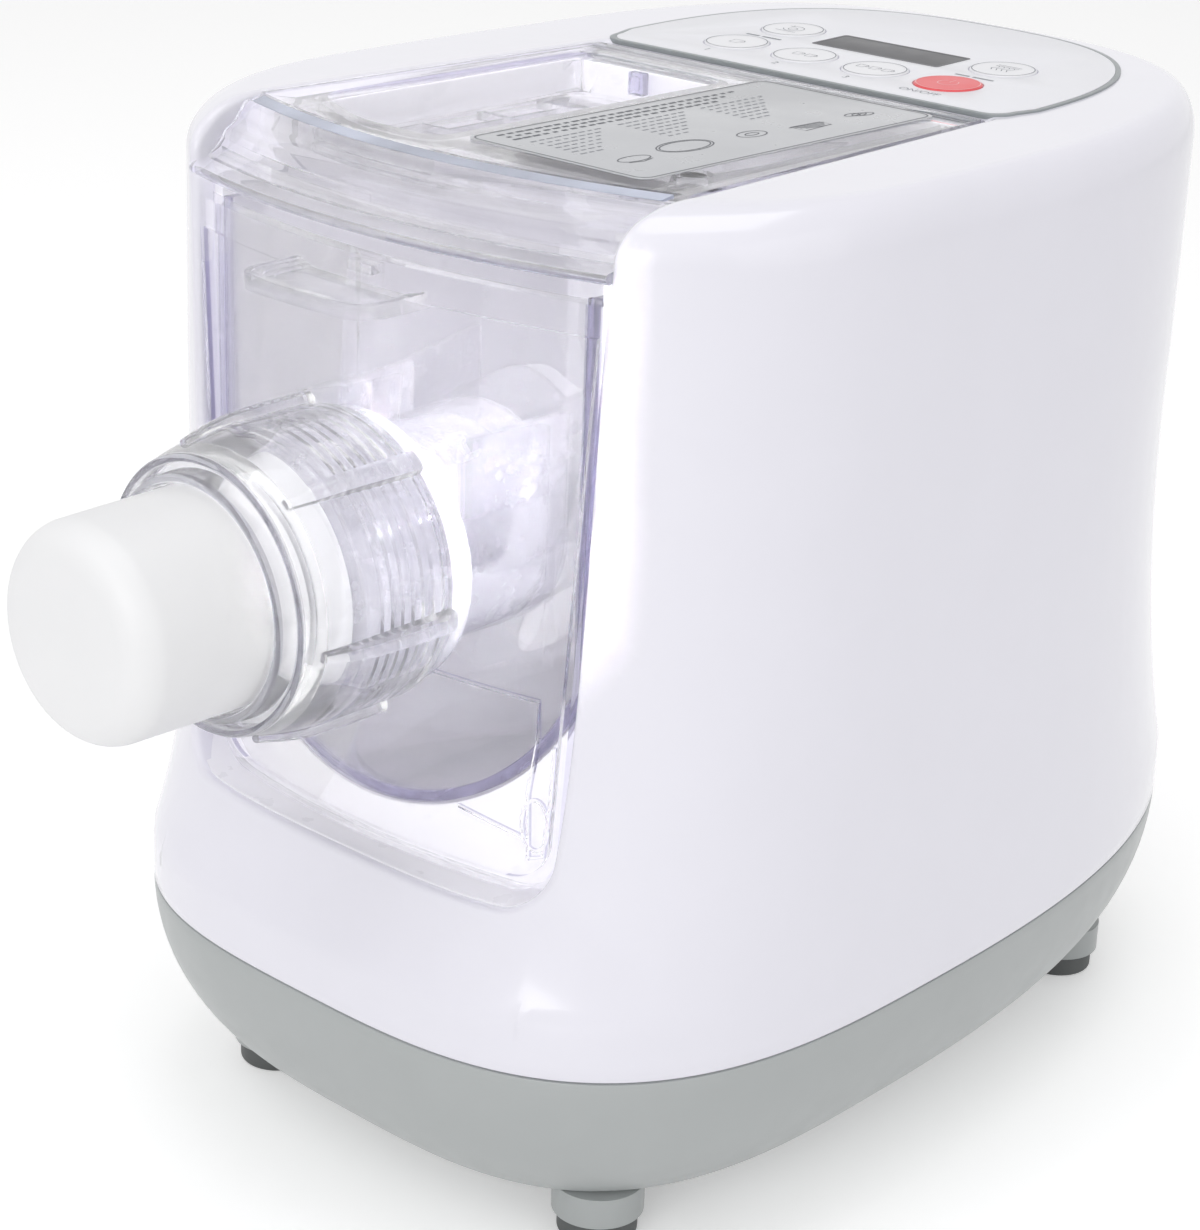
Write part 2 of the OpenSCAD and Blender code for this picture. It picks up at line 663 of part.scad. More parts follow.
module lid() color(clear) difference() {
    union() {
        intersection() {
            translate([0, 0, lid_low]) linear_extrude(lid_t) lid_plan(0);
            bow_disc(flat_r + 1, 0, 2 * top_z);
            translate([-bow_r, -bow_r, 0]) cube([2 * bow_r, bow_r + hinge_y, 2 * top_z]);
        }
        intersection() {
            translate([0, bow_y, 0]) rotate([0, 0, 180]) rotate_extrude($fn = 180)
                polygon(concat(roll_outer(), [[lip_r, lip_z - 2.4]], [for (k = [9 : -1 : 0]) roll_inner()[k]]));
            translate([0, 0, lip_z - 10]) linear_extrude(60) difference() {
                lid_plan(0);
                translate([-bow_r, -60]) square(2 * bow_r);
            }
        }
        for (s = [-1, 1]) translate([s * (bay_hw - 1 - skirt_t / 2) - skirt_t / 2, -62, lid_low - skirt_h])
            cube([skirt_t, 62 + bay_rear - 1.2, skirt_h + 1]);
        translate([0, 0, gutter_low]) linear_extrude(gutter_depth - 0.5) gutter_outline();
        translate([-lid_rear_hw, hinge_y, hinge_z]) rotate([0, 90, 0])
            cylinder(r = hinge_r, h = 2 * lid_rear_hw, $fn = 48);
        translate([magnet_x, magnet_y, lid_low - 4.5]) cylinder(r = 4.6, h = 5, $fn = 40);
    }
    translate([0, 0, gutter_low + gutter_t]) linear_extrude(30) gutter_inner();
    for (k = [0 : 1]) translate([drip_x, drip_start + drip_pitch * k, gutter_low - 1])
        cube([drip_w, drip_len, gutter_t + 2]);
    translate([-lid_front_hw, hinge_y, hinge_z]) rotate([0, 90, 0])
        cylinder(r = pin_r + pin_gap, h = 2 * lid_front_hw, $fn = 32);
    translate([magnet_x, magnet_y, lid_low - 5]) cylinder(r = 3, h = 4, $fn = 32);
}

magnet_x = 54;
magnet_y = -48;
label_left = -1.5;
label_right = 52.6;
label_front = -64;
label_rear = 43;

module hinge_pin() color(steel) translate([-lid_rear_hw - 6, hinge_y, hinge_z]) rotate([0, 90, 0])
    cylinder(r = pin_r, h = 2 * lid_rear_hw + 12, $fn = 32);

module lid_label() color([0.6, 0.61, 0.64]) translate([0, 0, lid_top]) linear_extrude(0.2)
    polygon(rounded([[label_left, label_front], [label_right, label_front], [label_right, label_rear],
        [label_left, label_rear]], 4));

module lid_magnet() color(steel) translate([magnet_x, magnet_y, lid_low - 4.4])
    cylinder(r = 3, h = 3.4, $fn = 32);

module reed_switch() color([0.2, 0.2, 0.22])
    translate([bay_hw + bay_wall, magnet_y - 7, lid_low - 18]) cube([5, 14, 6]);

// ---------- chamber, plate and nozzle ----------

// Round-bottomed outline [x, z] of the chamber, shrunk by g and open upwards.
module trough(g) {
    centre_z = chamber_bottom + chamber_r;
    intersection() {
        translate([-chamber_hw + g, chamber_bottom - 5]) square([2 * (chamber_hw - g), top_z]);
        union() {
            translate([0, centre_z]) circle(r = chamber_r - g, $fn = 120);
            translate([-2 * chamber_hw, centre_z]) square([4 * chamber_hw, top_z]);
        }
    }
}

module cut_above_rim() {
    translate([-bow_r, -bow_r, chamber_top]) cube(2 * bow_r);
}

seal_t = 1.6;
// What lies behind a bowed front of radius r.
module chamber_front(r) {
    bow_disc(r, 0, 2 * top_z);
}

module mixing_chamber() color(clear) difference() {
    intersection() {
        slab_y(-bow_r, chamber_rear) trough(0);
        chamber_front(bow_r - plate_t - seal_t);
    }
    slab_y(-2 * bow_r, chamber_rear - chamber_wall) trough(chamber_wall);
    cut_above_rim();
    bar_y(hex_r + 2, 0, chamber_rear + 10);
}

module chamber_seal() color([0.72, 0.69, 0.92]) difference() {
    intersection() {
        slab_y(-bow_r, 0) trough(0);
        chamber_front(bow_r - plate_t - fit);
    }
    chamber_front(bow_r - plate_t - seal_t);
    slab_y(-2 * bow_r, 10) trough(chamber_wall + 0.4);
    cut_above_rim();
}

// Front plate: bowed sheet with a rolled top rim and a tab handle.
handle_z = 230.6;
handle_t = 3.4;
handle_hw = 21.5;
handle_reach = 21.5;
handle_soft = 7;

module front_plate() color(clear) difference() {
    union() {
        intersection() {
            slab_y(-bow_r, 0) plate_outline(0);
            difference() {
                bow_disc(bow_r, 0, top_z);
                bow_disc(bow_r - plate_t, -1, 2 * top_z);
            }
        }
        intersection() {
            slab_y(-bow_r, 0) difference() {
                plate_outline(0);
                plate_rim_hole();
            }
            difference() {
                bow_disc(bow_r + 1.2, 0, top_z);
                bow_disc(bow_r - plate_t, -1, 2 * top_z);
            }
        }
        handle_tab();
    }
    bar_y(barrel_d / 2, -bow_r, 0);
}

module plate_rim_hole() {
    low = plate_low + 3.2;
    high = chamber_top - 9;
    polygon([[plate_top_hw - 2.4, high], [-plate_top_hw + 2.4, high], [-plate_low_hw + 2, low + 12],
        [-plate_low_hw + 13, low], [plate_low_hw - 13, low], [plate_low_hw - 2, low + 12]]);
}

module handle_tab() {
    front = bow_y - bow_r - handle_reach;
    translate([0, 0, handle_z]) linear_extrude(handle_t) difference() {
        intersection() {
            translate([0, bow_y]) circle(r = bow_r + handle_reach, $fn = 180);
            polygon(rounded([[-handle_hw, -80], [-handle_hw, front], [handle_hw, front], [handle_hw, -80]],
                handle_soft));
        }
        translate([0, bow_y]) circle(r = bow_r - 1, $fn = 180);
    }
}

module extrusion_barrel() color(clear) difference() {
    union() {
        bar_y(barrel_d / 2, collar_start, barrel_rear);
        difference() {
            bar_y(collar_r + 4, collar_start, plate_front + 6);
            bow_disc(bow_r, 0, top_z);
        }
        bar_y(collar_r, collar_end, collar_start + eps);
        for (y = [collar_end + 3 : thread_pitch : collar_start - 6]) bar_y(collar_r + thread_h, y, y + 1.8);
        for (s = [-1, 1]) translate([s * (barrel_d / 2 - 1.2) - 1.2, plate_back + 4, axis_z])
            cube([2.4, barrel_rear - plate_back - 4, 31]);
    }
    bar_y(barrel_bore / 2, collar_end - 1, barrel_rear + 1);
}

module die_disc() color([0.85, 0.85, 0.88]) difference() {
    bar_y(die_r, die_front, die_back);
    bar_y(barrel_bore / 2 - 2, die_front + 4, die_back + 1);
    for (i = [0 : die_holes - 1]) rotate_about_axis(360 * i / die_holes)
        bar_y(die_hole_d / 2, die_front - 1, die_back, axis_z + (i % 2 == 0 ? 17 : 10));
}

module rotate_about_axis(a) {
    translate([0, 0, axis_z]) rotate([0, a, 0]) translate([0, 0, -axis_z]) children();
}

// Nut: shoulder that narrows to a double front ring, with ridges that slope down over it.
module clamp_nut() color(clear) difference() {
    union() {
        translate([0, 0, axis_z]) rotate([90, 0, 0]) rotate_extrude($fn = 120) polygon(concat(
            [[nut_r - 1.5, -nut_rear], [nut_r, -nut_rear + 2]],
            [for (k = [0 : 5]) let (a = 90 * k / 5)
                [mix(nut_ring_r, nut_r, cos(a)), -nut_front - shoulder_len + (shoulder_len - 1.4) * sin(a)]],
            [[nut_ring_r - 0.8, -nut_front], [nut_open_r, -nut_front], [nut_open_r, -nut_rear]]));
        for (i = [0 : ridge_count - 1]) rotate_about_axis(360 * i / ridge_count + ridge_turn)
            translate([-ridge_w / 2, 0, axis_z]) rotate([90, 0, 90]) linear_extrude(ridge_w) polygon([
                [nut_rear - 1, nut_r - 1], [nut_rear - 1, nut_r + ridge_h],
                [nut_front + shoulder_len - 3, nut_r + ridge_h / 4],
                [nut_front + 4, nut_ring_r + 0.6], [nut_front + 4, nut_ring_r - 0.6]]);
    }
    bar_y(nut_bore_r, nut_lip, nut_rear + 1);
    bar_y(nut_ring_r - 2, nut_front - 1, nut_lip - nut_lip_t);
    bar_y(nut_open_r, nut_front - 1, nut_rear);
}

module die_cap() color(white) translate([0, 0, axis_z]) rotate([90, 0, 0]) rotate_extrude($fn = 120)
    polygon(concat([[cap_d / 2 - cap_wall, -cap_back], [cap_d / 2, -cap_back], [cap_d / 2, -nut_front]],
        [for (k = [0 : 6]) let (a = 90 * k / 6)
            [cap_nose_d / 2 - 6 + 6 * cos(a), cap_reach - 6 + 6 * sin(a)]],
        [[0, cap_reach], [0, cap_reach - cap_wall], [cap_nose_d / 2 - 6, cap_reach - cap_wall],
            [cap_nose_d / 2 - cap_wall - 0.4, cap_reach - 7]]));

flight_steps = 5;
flight_width = 70;        // angle that the flight takes of its section
function flight_point(r, k) = let (a = flight_width * k / flight_steps) r * [cos(a), sin(a)];

// Auger: one flight wound round a core, ahead of the paddle hub.
module auger() color(white) {
    bar_y(core_r, auger_front + 2, hub_front);
    len = auger_rear - auger_front;
    translate([0, auger_rear, axis_z]) rotate([90, 0, 0])
        linear_extrude(len, twist = -360 * flight_turns, slices = 40)
            polygon(concat([for (k = [flight_steps : -1 : 0]) flight_point(core_r - 1, k)],
                [for (k = [0 : flight_steps]) flight_point(flight_r, k)]));
}

module mixing_paddle() color(white) difference() {
    union() {
        bar_y(hub_r, hub_front, hub_rear);
        for (k = [0 : blade_count - 1]) rotate_about_axis(blade_turn - 360 * k / blade_count)
            paddle_arm(mix(paddle_start, hub_rear - blade_w, k / (blade_count - 1)));
    }
    translate([0, hub_rear + 1, axis_z]) rotate([90, 0, 0])
        cylinder(r = hex_r + 0.2, h = socket_depth + 1, $fn = 6);
}

// One arm: a flat blade along the axis, with rounded corners.
module paddle_arm(y) {
    translate([-paddle_t / 2, y, axis_z]) rotate([90, 0, 90]) linear_extrude(paddle_t) polygon(concat(
        [[blade_root, hub_r - 2]],
        [for (a = [180 : -15 : 90])
            [blade_round + blade_round * cos(a), paddle_reach - blade_round + blade_round * sin(a)]],
        [for (a = [90 : -15 : 0])
            [blade_w - blade_round + blade_round * cos(a), paddle_reach - blade_round + blade_round * sin(a)]],
        [[blade_w - blade_root, hub_r - 2]]));
}

// ---------- drive ----------

module drive_shaft() color(steel) {
    bar_y(shaft_r, hub_rear + 1, gear_back + gear_plate_t);
    translate([0, hub_rear + 1 + eps, axis_z]) rotate([90, 0, 0])
        cylinder(r = hex_r, h = socket_depth - 0.5, $fn = 6);
}

module shaft_seal() color([0.2, 0.2, 0.22]) difference() {
    bar_y(bearing_r, bay_rear - 0.6, bay_rear + bay_wall);
    bar_y(shaft_r + run_gap, bay_rear - 5, bay_rear + 10);
}

module bearing(y) color(steel) difference() {
    bar_y(bearing_r, y, y + bearing_t);
    bar_y(shaft_r + run_gap, y - 1, y + bearing_t + 1);
}

module front_bearing() bearing(gear_front + gear_plate_t - bearing_t);
module rear_bearing() bearing(gear_back);

post_z = [gearbox_top - 8, gearbox_bottom + 8];

module gear_plate(y, motor_hole) difference() {
    slab_y(y, y + gear_plate_t) polygon(rounded([[-gearbox_hw, gearbox_bottom], [gearbox_hw, gearbox_bottom],
        [gearbox_hw, gearbox_top], [-gearbox_hw, gearbox_top]], 10));
    bar_y(bearing_r, y - 1, y + gear_plate_t + 1);
    bar_y(pin_shaft_r, y - 1, y + gear_plate_t + 1, compound_z);
    bar_y(motor_hole, y - 1, y + gear_plate_t + 1, motor_z);
    for (x = [-post_x, post_x], z = post_z) bar_y(screw_r, y - 1, y + gear_plate_t + 1, z, x);
}

module gearbox_front_plate() color([0.62, 0.64, 0.66]) gear_plate(gear_front, motor_shaft_r + 2);
module gearbox_rear_plate() color([0.62, 0.64, 0.66]) difference() {
    gear_plate(gear_back, motor_shaft_r + 2);
    for (a = [45 : 90 : 315]) motor_screw_place(a) bar_y(screw_r, gear_back - 1, motor_front + 1, motor_z);
}

module motor_screw_place(a) {
    translate([motor_screw_r * cos(a), 0, motor_screw_r * sin(a)]) children();
}

module gearbox_posts() color(steel) for (x = [-post_x, post_x], z = post_z) difference() {
    bar_y(post_r, gear_front + gear_plate_t, gear_back, z, x);
    bar_y(screw_r, gear_front, gear_back + 1, z, x);
}

module gearbox_screws() color(steel) for (x = [-post_x, post_x], z = post_z) {
    bar_y(screw_r, gear_front + 1, gear_back + gear_plate_t + eps, z, x);
    bar_y(screw_head_r, gear_back + gear_plate_t, gear_back + gear_plate_t + 2.6, z, x);
}

module output_gear() color([0.9, 0.9, 0.86]) difference() {
    gear(slow_mod, output_teeth, slow_y, slow_y + slow_face, axis_z, -90);
    bar_y(shaft_r, slow_y - 1, slow_y + slow_face + 1);
    for (a = [0 : 60 : 300]) rotate_about_axis(a)
        bar_y(web_hole_r, slow_y - 1, slow_y + slow_face + 1, axis_z + web_circle_r);
}

// The small teeth mesh with the output gear above, the large ones with the motor pinion below.
module compound_gear() color([0.9, 0.9, 0.86]) difference() {
    union() {
        gear(slow_mod, slow_pinion_teeth, slow_y, fast_y + eps, compound_z, 90 + 180 / slow_pinion_teeth);
        gear(fast_mod, wheel_teeth, fast_y, fast_y + fast_face, compound_z, -90);
    }
    bar_y(pin_shaft_r + run_gap, slow_y - 1, fast_y + fast_face + 1, compound_z);
}

module compound_pin() color(steel) bar_y(pin_shaft_r, gear_front, gear_back + gear_plate_t, compound_z);

module motor_pinion() color([0.8, 0.66, 0.3]) difference() {
    gear(fast_mod, fast_pinion_teeth, fast_y - 0.4, fast_y + fast_face + 0.4, motor_z,
        90 + 180 / fast_pinion_teeth);
    bar_y(motor_shaft_r, fast_y - 2, fast_y + fast_face + 2, motor_z);
}

fan_y = motor_front + motor_len + 2.5;
fan_t = 5;
fan_r = motor_d / 2 - 9;
fan_hub_r = 7;
blade_t = 2;
module motor_shaft() color(steel) bar_y(motor_shaft_r, fast_y - 1, fan_y + fan_t + 1, motor_z);

module motor_can() color([0.5, 0.51, 0.53]) difference() {
    union() {
        bar_y(motor_d / 2, motor_front + 3, motor_front + motor_len - 3, motor_z);
        bar_y(motor_d / 2 - 4, motor_front, motor_front + motor_len, motor_z);
    }
    bar_y(motor_shaft_r + run_gap, motor_front - 1, motor_front + motor_len + 1, motor_z);
    for (a = [45 : 90 : 315]) motor_screw_place(a) bar_y(screw_r, motor_front - 1, motor_front + 8, motor_z);
    for (a = [0 : 30 : 330]) translate([0, 0, motor_z]) rotate([0, a, 0])
        translate([-1.5, motor_front + motor_len - 16, motor_d / 2 - 5]) cube([3, 12, 10]);
}

module motor_screws() color(steel) for (a = [45 : 90 : 315]) motor_screw_place(a) {
    bar_y(screw_r, gear_back - eps, motor_front + 8, motor_z);
    bar_y(screw_r + 1.2, gear_back - 0.9, gear_back, motor_z);
}

module motor_fan() color([0.15, 0.15, 0.16]) difference() {
    union() {
        bar_y(fan_hub_r, fan_y, fan_y + fan_t, motor_z);
        for (a = [0 : 40 : 320]) translate([0, 0, motor_z]) rotate([0, a, 0])
            translate([-blade_t / 2, fan_y, fan_hub_r - 1]) cube([blade_t, fan_t, fan_r - fan_hub_r]);
        bar_y(fan_r, fan_y, fan_y + 1.2, motor_z);
    }
    bar_y(motor_shaft_r, fan_y - 1, fan_y + fan_t + 1, motor_z);
}

// ---------- electronics ----------

module power_board() color(board_green) difference() {
    translate([-pcb_hw, pcb_front, pcb_low]) cube([2 * pcb_hw, pcb_rear - pcb_front, pcb_t]);
    for (p = board_screw_xy) translate([p[0], p[1], pcb_low - 1]) cylinder(r = 1.6, h = 4, $fn = 24);
}

pcb_top = pcb_low + pcb_t;
core_size = [28, 24, 20];
coil_size = [20, 30, 12];
module transformer() color([0.75, 0.6, 0.2]) translate([-pcb_hw + 8, pcb_front + 12, pcb_top]) {
    cube(core_size);
    translate((core_size - coil_size) / 2) cube(coil_size);
}

capacitor_r = 9;
capacitor_h = 28;
module capacitor() color([0.15, 0.2, 0.35]) translate([pcb_hw / 2, pcb_front + 24, pcb_top])
    cylinder(r = capacitor_r, h = capacitor_h, $fn = 48);

relay_size = [20, 15, 15];
module relay() color([0.1, 0.2, 0.5]) translate([-pcb_hw + 10, pcb_rear - 28, pcb_top]) cube(relay_size);

module cord_gland() color([0.25, 0.26, 0.27]) difference() {
    union() {
        bar_y(gland_r, gland_inner, gland_outer + eps, gland_z);
        bar_y(gland_r + 2.5, gland_inner - 2.5, gland_inner, gland_z);
        bar_y(gland_r + 3, gland_outer, gland_outer + 2.6, gland_z);
    }
    bar_y(gland_bore, gland_inner - 5, gland_outer + 10, gland_z);
}

gland_bore = 3.6;

// Wires held inside: points chosen by hand.
mains_route = [[0, gland_inner - 3, gland_z], [0, gland_inner - 15, gland_z - 1], [14, gland_inner - 29, 28],
    [38, 120, 22], [44, 90, 20], [44, 50, 22], [42, 24, 28], [30, 10, 30], [30, 4, 22]];
motor_route = [[-20, 14, 22], [-22, 20, 32], [-40, 34, 34], [-46, 60, 38], [-46, 100, 46],
    [-44, 136, 60], [-34, 150, 70], [-20, 151, 76]];
panel_route = [[10, 14, 22], [12, 24, 34], [40, 36, 40], [72, 44, 60], [80, 50, 110],
    [80, 56, 180], [72, 66, 232], [50, 74, 246], [38, 80, 248]];

module mains_wires() color([0.2, 0.2, 0.2]) swept_tube(curve(mains_route, 3), 2.6);
module motor_leads() color([0.6, 0.1, 0.1]) swept_tube(curve(motor_route, 3), 1.6);
module panel_cable() color([0.7, 0.7, 0.7]) swept_tube(curve(panel_route, 3), 1.6);

body_shell();
base_shell();
foot(0);  // foot_front_left
foot(1);  // foot_front_right
foot(2);  // foot_rear_left
foot(3);  // foot_rear_right
base_screws();
control_panel();
panel_border();
display_window();
display_module();
control_board();
key_switches();
button(0, white);  // button_one_cup
button(1, white);  // button_two_cups
button(2, white);  // button_three_cups
button(3, [0.92, 0.33, 0.33]);  // button_power
button(4, white);  // button_mix
button(5, white);  // button_extrude
hinge_pin();
lid();
lid_label();
lid_magnet();
reed_switch();
mixing_chamber();
chamber_seal();
front_plate();
extrusion_barrel();
die_disc();
clamp_nut();
die_cap();
auger();
mixing_paddle();
drive_shaft();
shaft_seal();
front_bearing();
rear_bearing();
gearbox_front_plate();
gearbox_rear_plate();
gearbox_posts();
gearbox_screws();
output_gear();
compound_gear();
compound_pin();
motor_pinion();
motor_shaft();
motor_can();
motor_fan();
motor_screws();
power_board();
transformer();
capacitor();
relay();
cord_gland();
mains_wires();
motor_leads();
panel_cable();
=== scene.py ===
"""Electric pasta maker: every visible piece, dressed around its fixed CAD frame."""

import logging
import math
from contextlib import contextmanager
from dataclasses import dataclass, field
from enum import Enum
from typing import Callable, Iterable, Iterator, Sequence

import bmesh
import bpy
import numpy as np
from mathutils import Matrix, Vector
from mathutils.kdtree import KDTree


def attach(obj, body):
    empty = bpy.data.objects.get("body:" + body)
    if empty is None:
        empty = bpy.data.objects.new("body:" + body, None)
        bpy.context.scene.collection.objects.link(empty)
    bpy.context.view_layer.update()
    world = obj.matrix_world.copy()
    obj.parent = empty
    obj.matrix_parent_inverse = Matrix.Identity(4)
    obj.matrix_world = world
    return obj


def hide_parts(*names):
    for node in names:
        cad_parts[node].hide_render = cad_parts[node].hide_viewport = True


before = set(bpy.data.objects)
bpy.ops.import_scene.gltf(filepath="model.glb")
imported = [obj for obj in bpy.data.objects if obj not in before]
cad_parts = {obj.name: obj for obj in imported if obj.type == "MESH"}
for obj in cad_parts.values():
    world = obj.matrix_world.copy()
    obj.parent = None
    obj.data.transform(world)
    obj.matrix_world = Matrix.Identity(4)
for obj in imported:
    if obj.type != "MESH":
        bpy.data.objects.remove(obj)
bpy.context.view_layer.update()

LOG = logging.getLogger("pasta_maker")
MM = 0.001  # one millimetre in metres
WELD = 0.004  # vertices closer than this many millimetres become one
FAR = 400.0  # a place in millimetres beyond every piece

Piece = bpy.types.Object
Socket = bpy.types.NodeSocket
Point2 = tuple[float, float]
Point3 = tuple[float, float, float]
Rgb = tuple[float, float, float]
Stroke = tuple[Sequence[Point2], bool]  # middle line, and whether it is closed
Level = tuple[float, Point3]  # height, and half width and reaches there


# ---------- numbers and outlines ----------


def lerp(a: float, b: float, u: float) -> float:
    """Value at the share u of the way from a to b."""
    return a + (b - a) * u


def clamp01(value: float) -> float:
    """Value limited to 0..1."""
    return min(1.0, max(0.0, value))


def signed_pow(value: float, power: float) -> float:
    """Power of the absolute value, with the sign of the value."""
    return math.copysign(abs(value) ** power, value)


def arc(centre: Point2, radius: float, start: float, end: float, steps: int = 12) -> list[Point2]:
    """Points on a circular arc between two angles in degrees, both ends included."""
    angles = [math.radians(lerp(start, end, k / steps)) for k in range(steps + 1)]
    return [(centre[0] + radius * math.cos(a), centre[1] + radius * math.sin(a)) for a in angles]


def trough_line(x: float, z: float, radius: float, steps: int) -> list[Point2]:
    """Open line down, along the bottom and up, with round corners about (-x, z) and (x, z)."""
    return arc((-x, z), radius, 180, 270, steps) + arc((x, z), radius, 270, 360, steps)


def rounded(points: Sequence[Point2], radius: float, steps: int = 8) -> list[Point2]:
    """Polygon with soft corners.

    Args:
        points: Corners in order.
        radius: Length over which each corner is rounded.
        steps: Segments of a corner.

    Returns:
        The closed outline.
    """
    made: list[Point2] = []
    for i, corner in enumerate(points):
        c = Vector(corner)
        a = Vector(points[i - 1]) - c
        b = Vector(points[(i + 1) % len(points)]) - c
        start, end = c + a.normalized() * radius, c + b.normalized() * radius
        for k in range(steps + 1):
            u = k / steps
            p = start * (1 - u) ** 2 + c * 2 * u * (1 - u) + end * u * u
            made.append((p.x, p.y))
    return made


def resample(line: Sequence[Sequence[float]], count: int) -> np.ndarray:
    """Open line with evenly spaced points.

    Args:
        line: Its points.
        count: Number of segments wanted.

    Returns:
        An array of count + 1 points.
    """
    pts = np.asarray(line, float)
    steps = np.linalg.norm(np.diff(pts, axis=0), axis=1)
    along = np.concatenate([[0.0], np.cumsum(steps)])
    wanted = np.linspace(0.0, along[-1], count + 1)
    return np.column_stack([np.interp(wanted, along, pts[:, k]) for k in range(pts.shape[1])])


# ---------- meshes ----------


class Axis(Enum):
    """Direction along which a section is drawn out or about which it is turned."""

    X = "x"
    Y = "y"
    Z = "z"

    def place(self, a: float, b: float, along: float) -> Point3:
        """Point of a section.

        Args:
            a: First coordinate in the section.
            b: Second coordinate in the section.
            along: Place along the axis.

        Returns:
            The point in space.
        """
        if self is Axis.X:
            return (along, a, b)
        if self is Axis.Y:
            return (a, along, b)
        return (a, b, along)


class Join(Enum):
    """What a boolean step does with its tools."""

    ADD = "UNION"
    REMOVE = "DIFFERENCE"
    KEEP = "INTERSECT"


def linked(name: str, data: bpy.types.ID) -> Piece:
    """New object in the scene.

    Args:
        name: Name of the object.
        data: Mesh, curve, lamp or camera that it holds.

    Returns:
        The object.
    """
    made = bpy.data.objects.new(name, data)
    bpy.context.scene.collection.objects.link(made)
    return made


@contextmanager
def editing(mesh: bpy.types.Mesh) -> Iterator[bmesh.types.BMesh]:
    """Opens a mesh for editing and writes it back.

    Args:
        mesh: The mesh.

    Yields:
        The open mesh.
    """
    work = bmesh.new()
    work.from_mesh(mesh)
    yield work
    work.to_mesh(mesh)
    work.free()


def mesh_object(name: str, points: Iterable[Sequence[float]],
                faces: Iterable[Sequence[int]]) -> Piece:
    """New mesh piece with welded seams and outward faces.

    Args:
        name: Name of the piece.
        points: Vertices in millimetres.
        faces: Vertex numbers of each face.

    Returns:
        The piece.
    """
    mesh = bpy.data.meshes.new(name)
    mesh.from_pydata([tuple(c * MM for c in p) for p in points], [], [tuple(f) for f in faces])
    with editing(mesh) as work:
        bmesh.ops.remove_doubles(work, verts=work.verts, dist=WELD * MM)
        bmesh.ops.dissolve_degenerate(work, edges=work.edges, dist=WELD * MM * 0.5)
        bmesh.ops.recalc_face_normals(work, faces=work.faces)
    return linked(name, mesh)


def grid_faces(rows: int, columns: int, closed: bool = False, start: int = 0) -> list[tuple[int, ...]]:
    """Quads of a grid of points stored row by row.

    Args:
        rows: Number of rows.
        columns: Number of points in a row.
        closed: Whether the last column joins the first.
        start: Number of the first vertex.

    Returns:
        The faces.
    """
    span = columns if closed else columns - 1
    return [
        (start + r * columns + c, start + r * columns + (c + 1) % columns,
         start + (r + 1) * columns + (c + 1) % columns, start + (r + 1) * columns + c)
        for r in range(rows - 1) for c in range(span)
    ]


def through(name: str, rings: Sequence[Sequence[Point3]]) -> Piece:
    """Closed solid through rings of points.

    Args:
        name: Name of the solid.
        rings: Rings in order, with as many points each.

    Returns:
        The solid.
    """
    n = len(rings[0])
    last = (len(rings) - 1) * n
    faces = grid_faces(len(rings), n, closed=True) + [tuple(range(n)), tuple(range(last, last + n))]
    return mesh_object(name, [p for ring in rings for p in ring], faces)


def prism(name: str, outline: Sequence[Point2], low: float, high: float, axis: Axis = Axis.Z,
          high_outline: Sequence[Point2] | None = None) -> Piece:
    """Closed solid drawn out of an outline, or from it to another with as many points."""
    return through(name, [[axis.place(a, b, low) for a, b in outline],
                          [axis.place(a, b, high) for a, b in (high_outline or outline)]])


def rectangle(x0: float, y0: float, x1: float, y1: float) -> list[Point2]:
    """Corners of a rectangle in order."""
    return [(x0, y0), (x1, y0), (x1, y1), (x0, y1)]


def sheet(name: str, x0: float, y0: float, x1: float, y1: float) -> Piece:
    """Flat rectangle at height 0."""
    return mesh_object(name, [(x, y, 0.0) for x, y in rectangle(x0, y0, x1, y1)], [(0, 1, 2, 3)])


def block(name: str, low: Point3, high: Point3) -> Piece:
    """Box between its lowest and its highest corner."""
    return prism(name, rectangle(low[0], low[1], high[0], high[1]), low[2], high[2])


def twin_blocks(name: str, near: Point3, far: Point3) -> list[Piece]:
    """Box between two corners and its mirror image on the left, the left one first."""
    return [block(name, (-far[0], *near[1:]), (-near[0], *far[1:])), block(name, near, far)]


def turned(name: str, profile: Sequence[Point2], centre: Point2 = (0.0, 0.0), axis: Axis = Axis.Z,
           steps: int = 160) -> Piece:
    """Solid of revolution.

    Args:
        name: Name of the piece.
        profile: Closed section as (radius, place along the axis).
        centre: Place of the axis in the plane across it.
        axis: Direction of the axis.
        steps: Segments around.

    Returns:
        The closed solid.
    """
    n = len(profile)
    points = []
    for k in range(steps):
        a = 2 * math.pi * k / steps
        for r, t in profile:
            points.append(axis.place(centre[0] + r * math.cos(a), centre[1] + r * math.sin(a), t))
    faces = []
    for k in range(steps):
        for i in range(n):
            j, m = (i + 1) % n, (k + 1) % steps
            if profile[i][0] or profile[j][0]:
                faces.append((k * n + i, k * n + j, m * n + j, m * n + i))
    return mesh_object(name, points, faces)


def rod(name: str, radius: float, low: float, high: float, centre: Point2, axis: Axis = Axis.Y,
        steps: int = 160) -> Piece:
    """Cylinder about an axis that crosses the plane across it at the centre."""
    return prism(name, arc(centre, radius, 0, 360 * (1 - 1 / steps), steps - 1), low, high, axis)


def bake(piece: Piece) -> None:
    """Turns the modifiers of a piece into plain mesh.

    Args:
        piece: The piece.
    """
    graph = bpy.context.evaluated_depsgraph_get()
    mesh = bpy.data.meshes.new_from_object(piece.evaluated_get(graph), depsgraph=graph)
    piece.modifiers.clear()
    old, piece.data = piece.data, mesh
    mesh.name = piece.name
    bpy.data.meshes.remove(old)


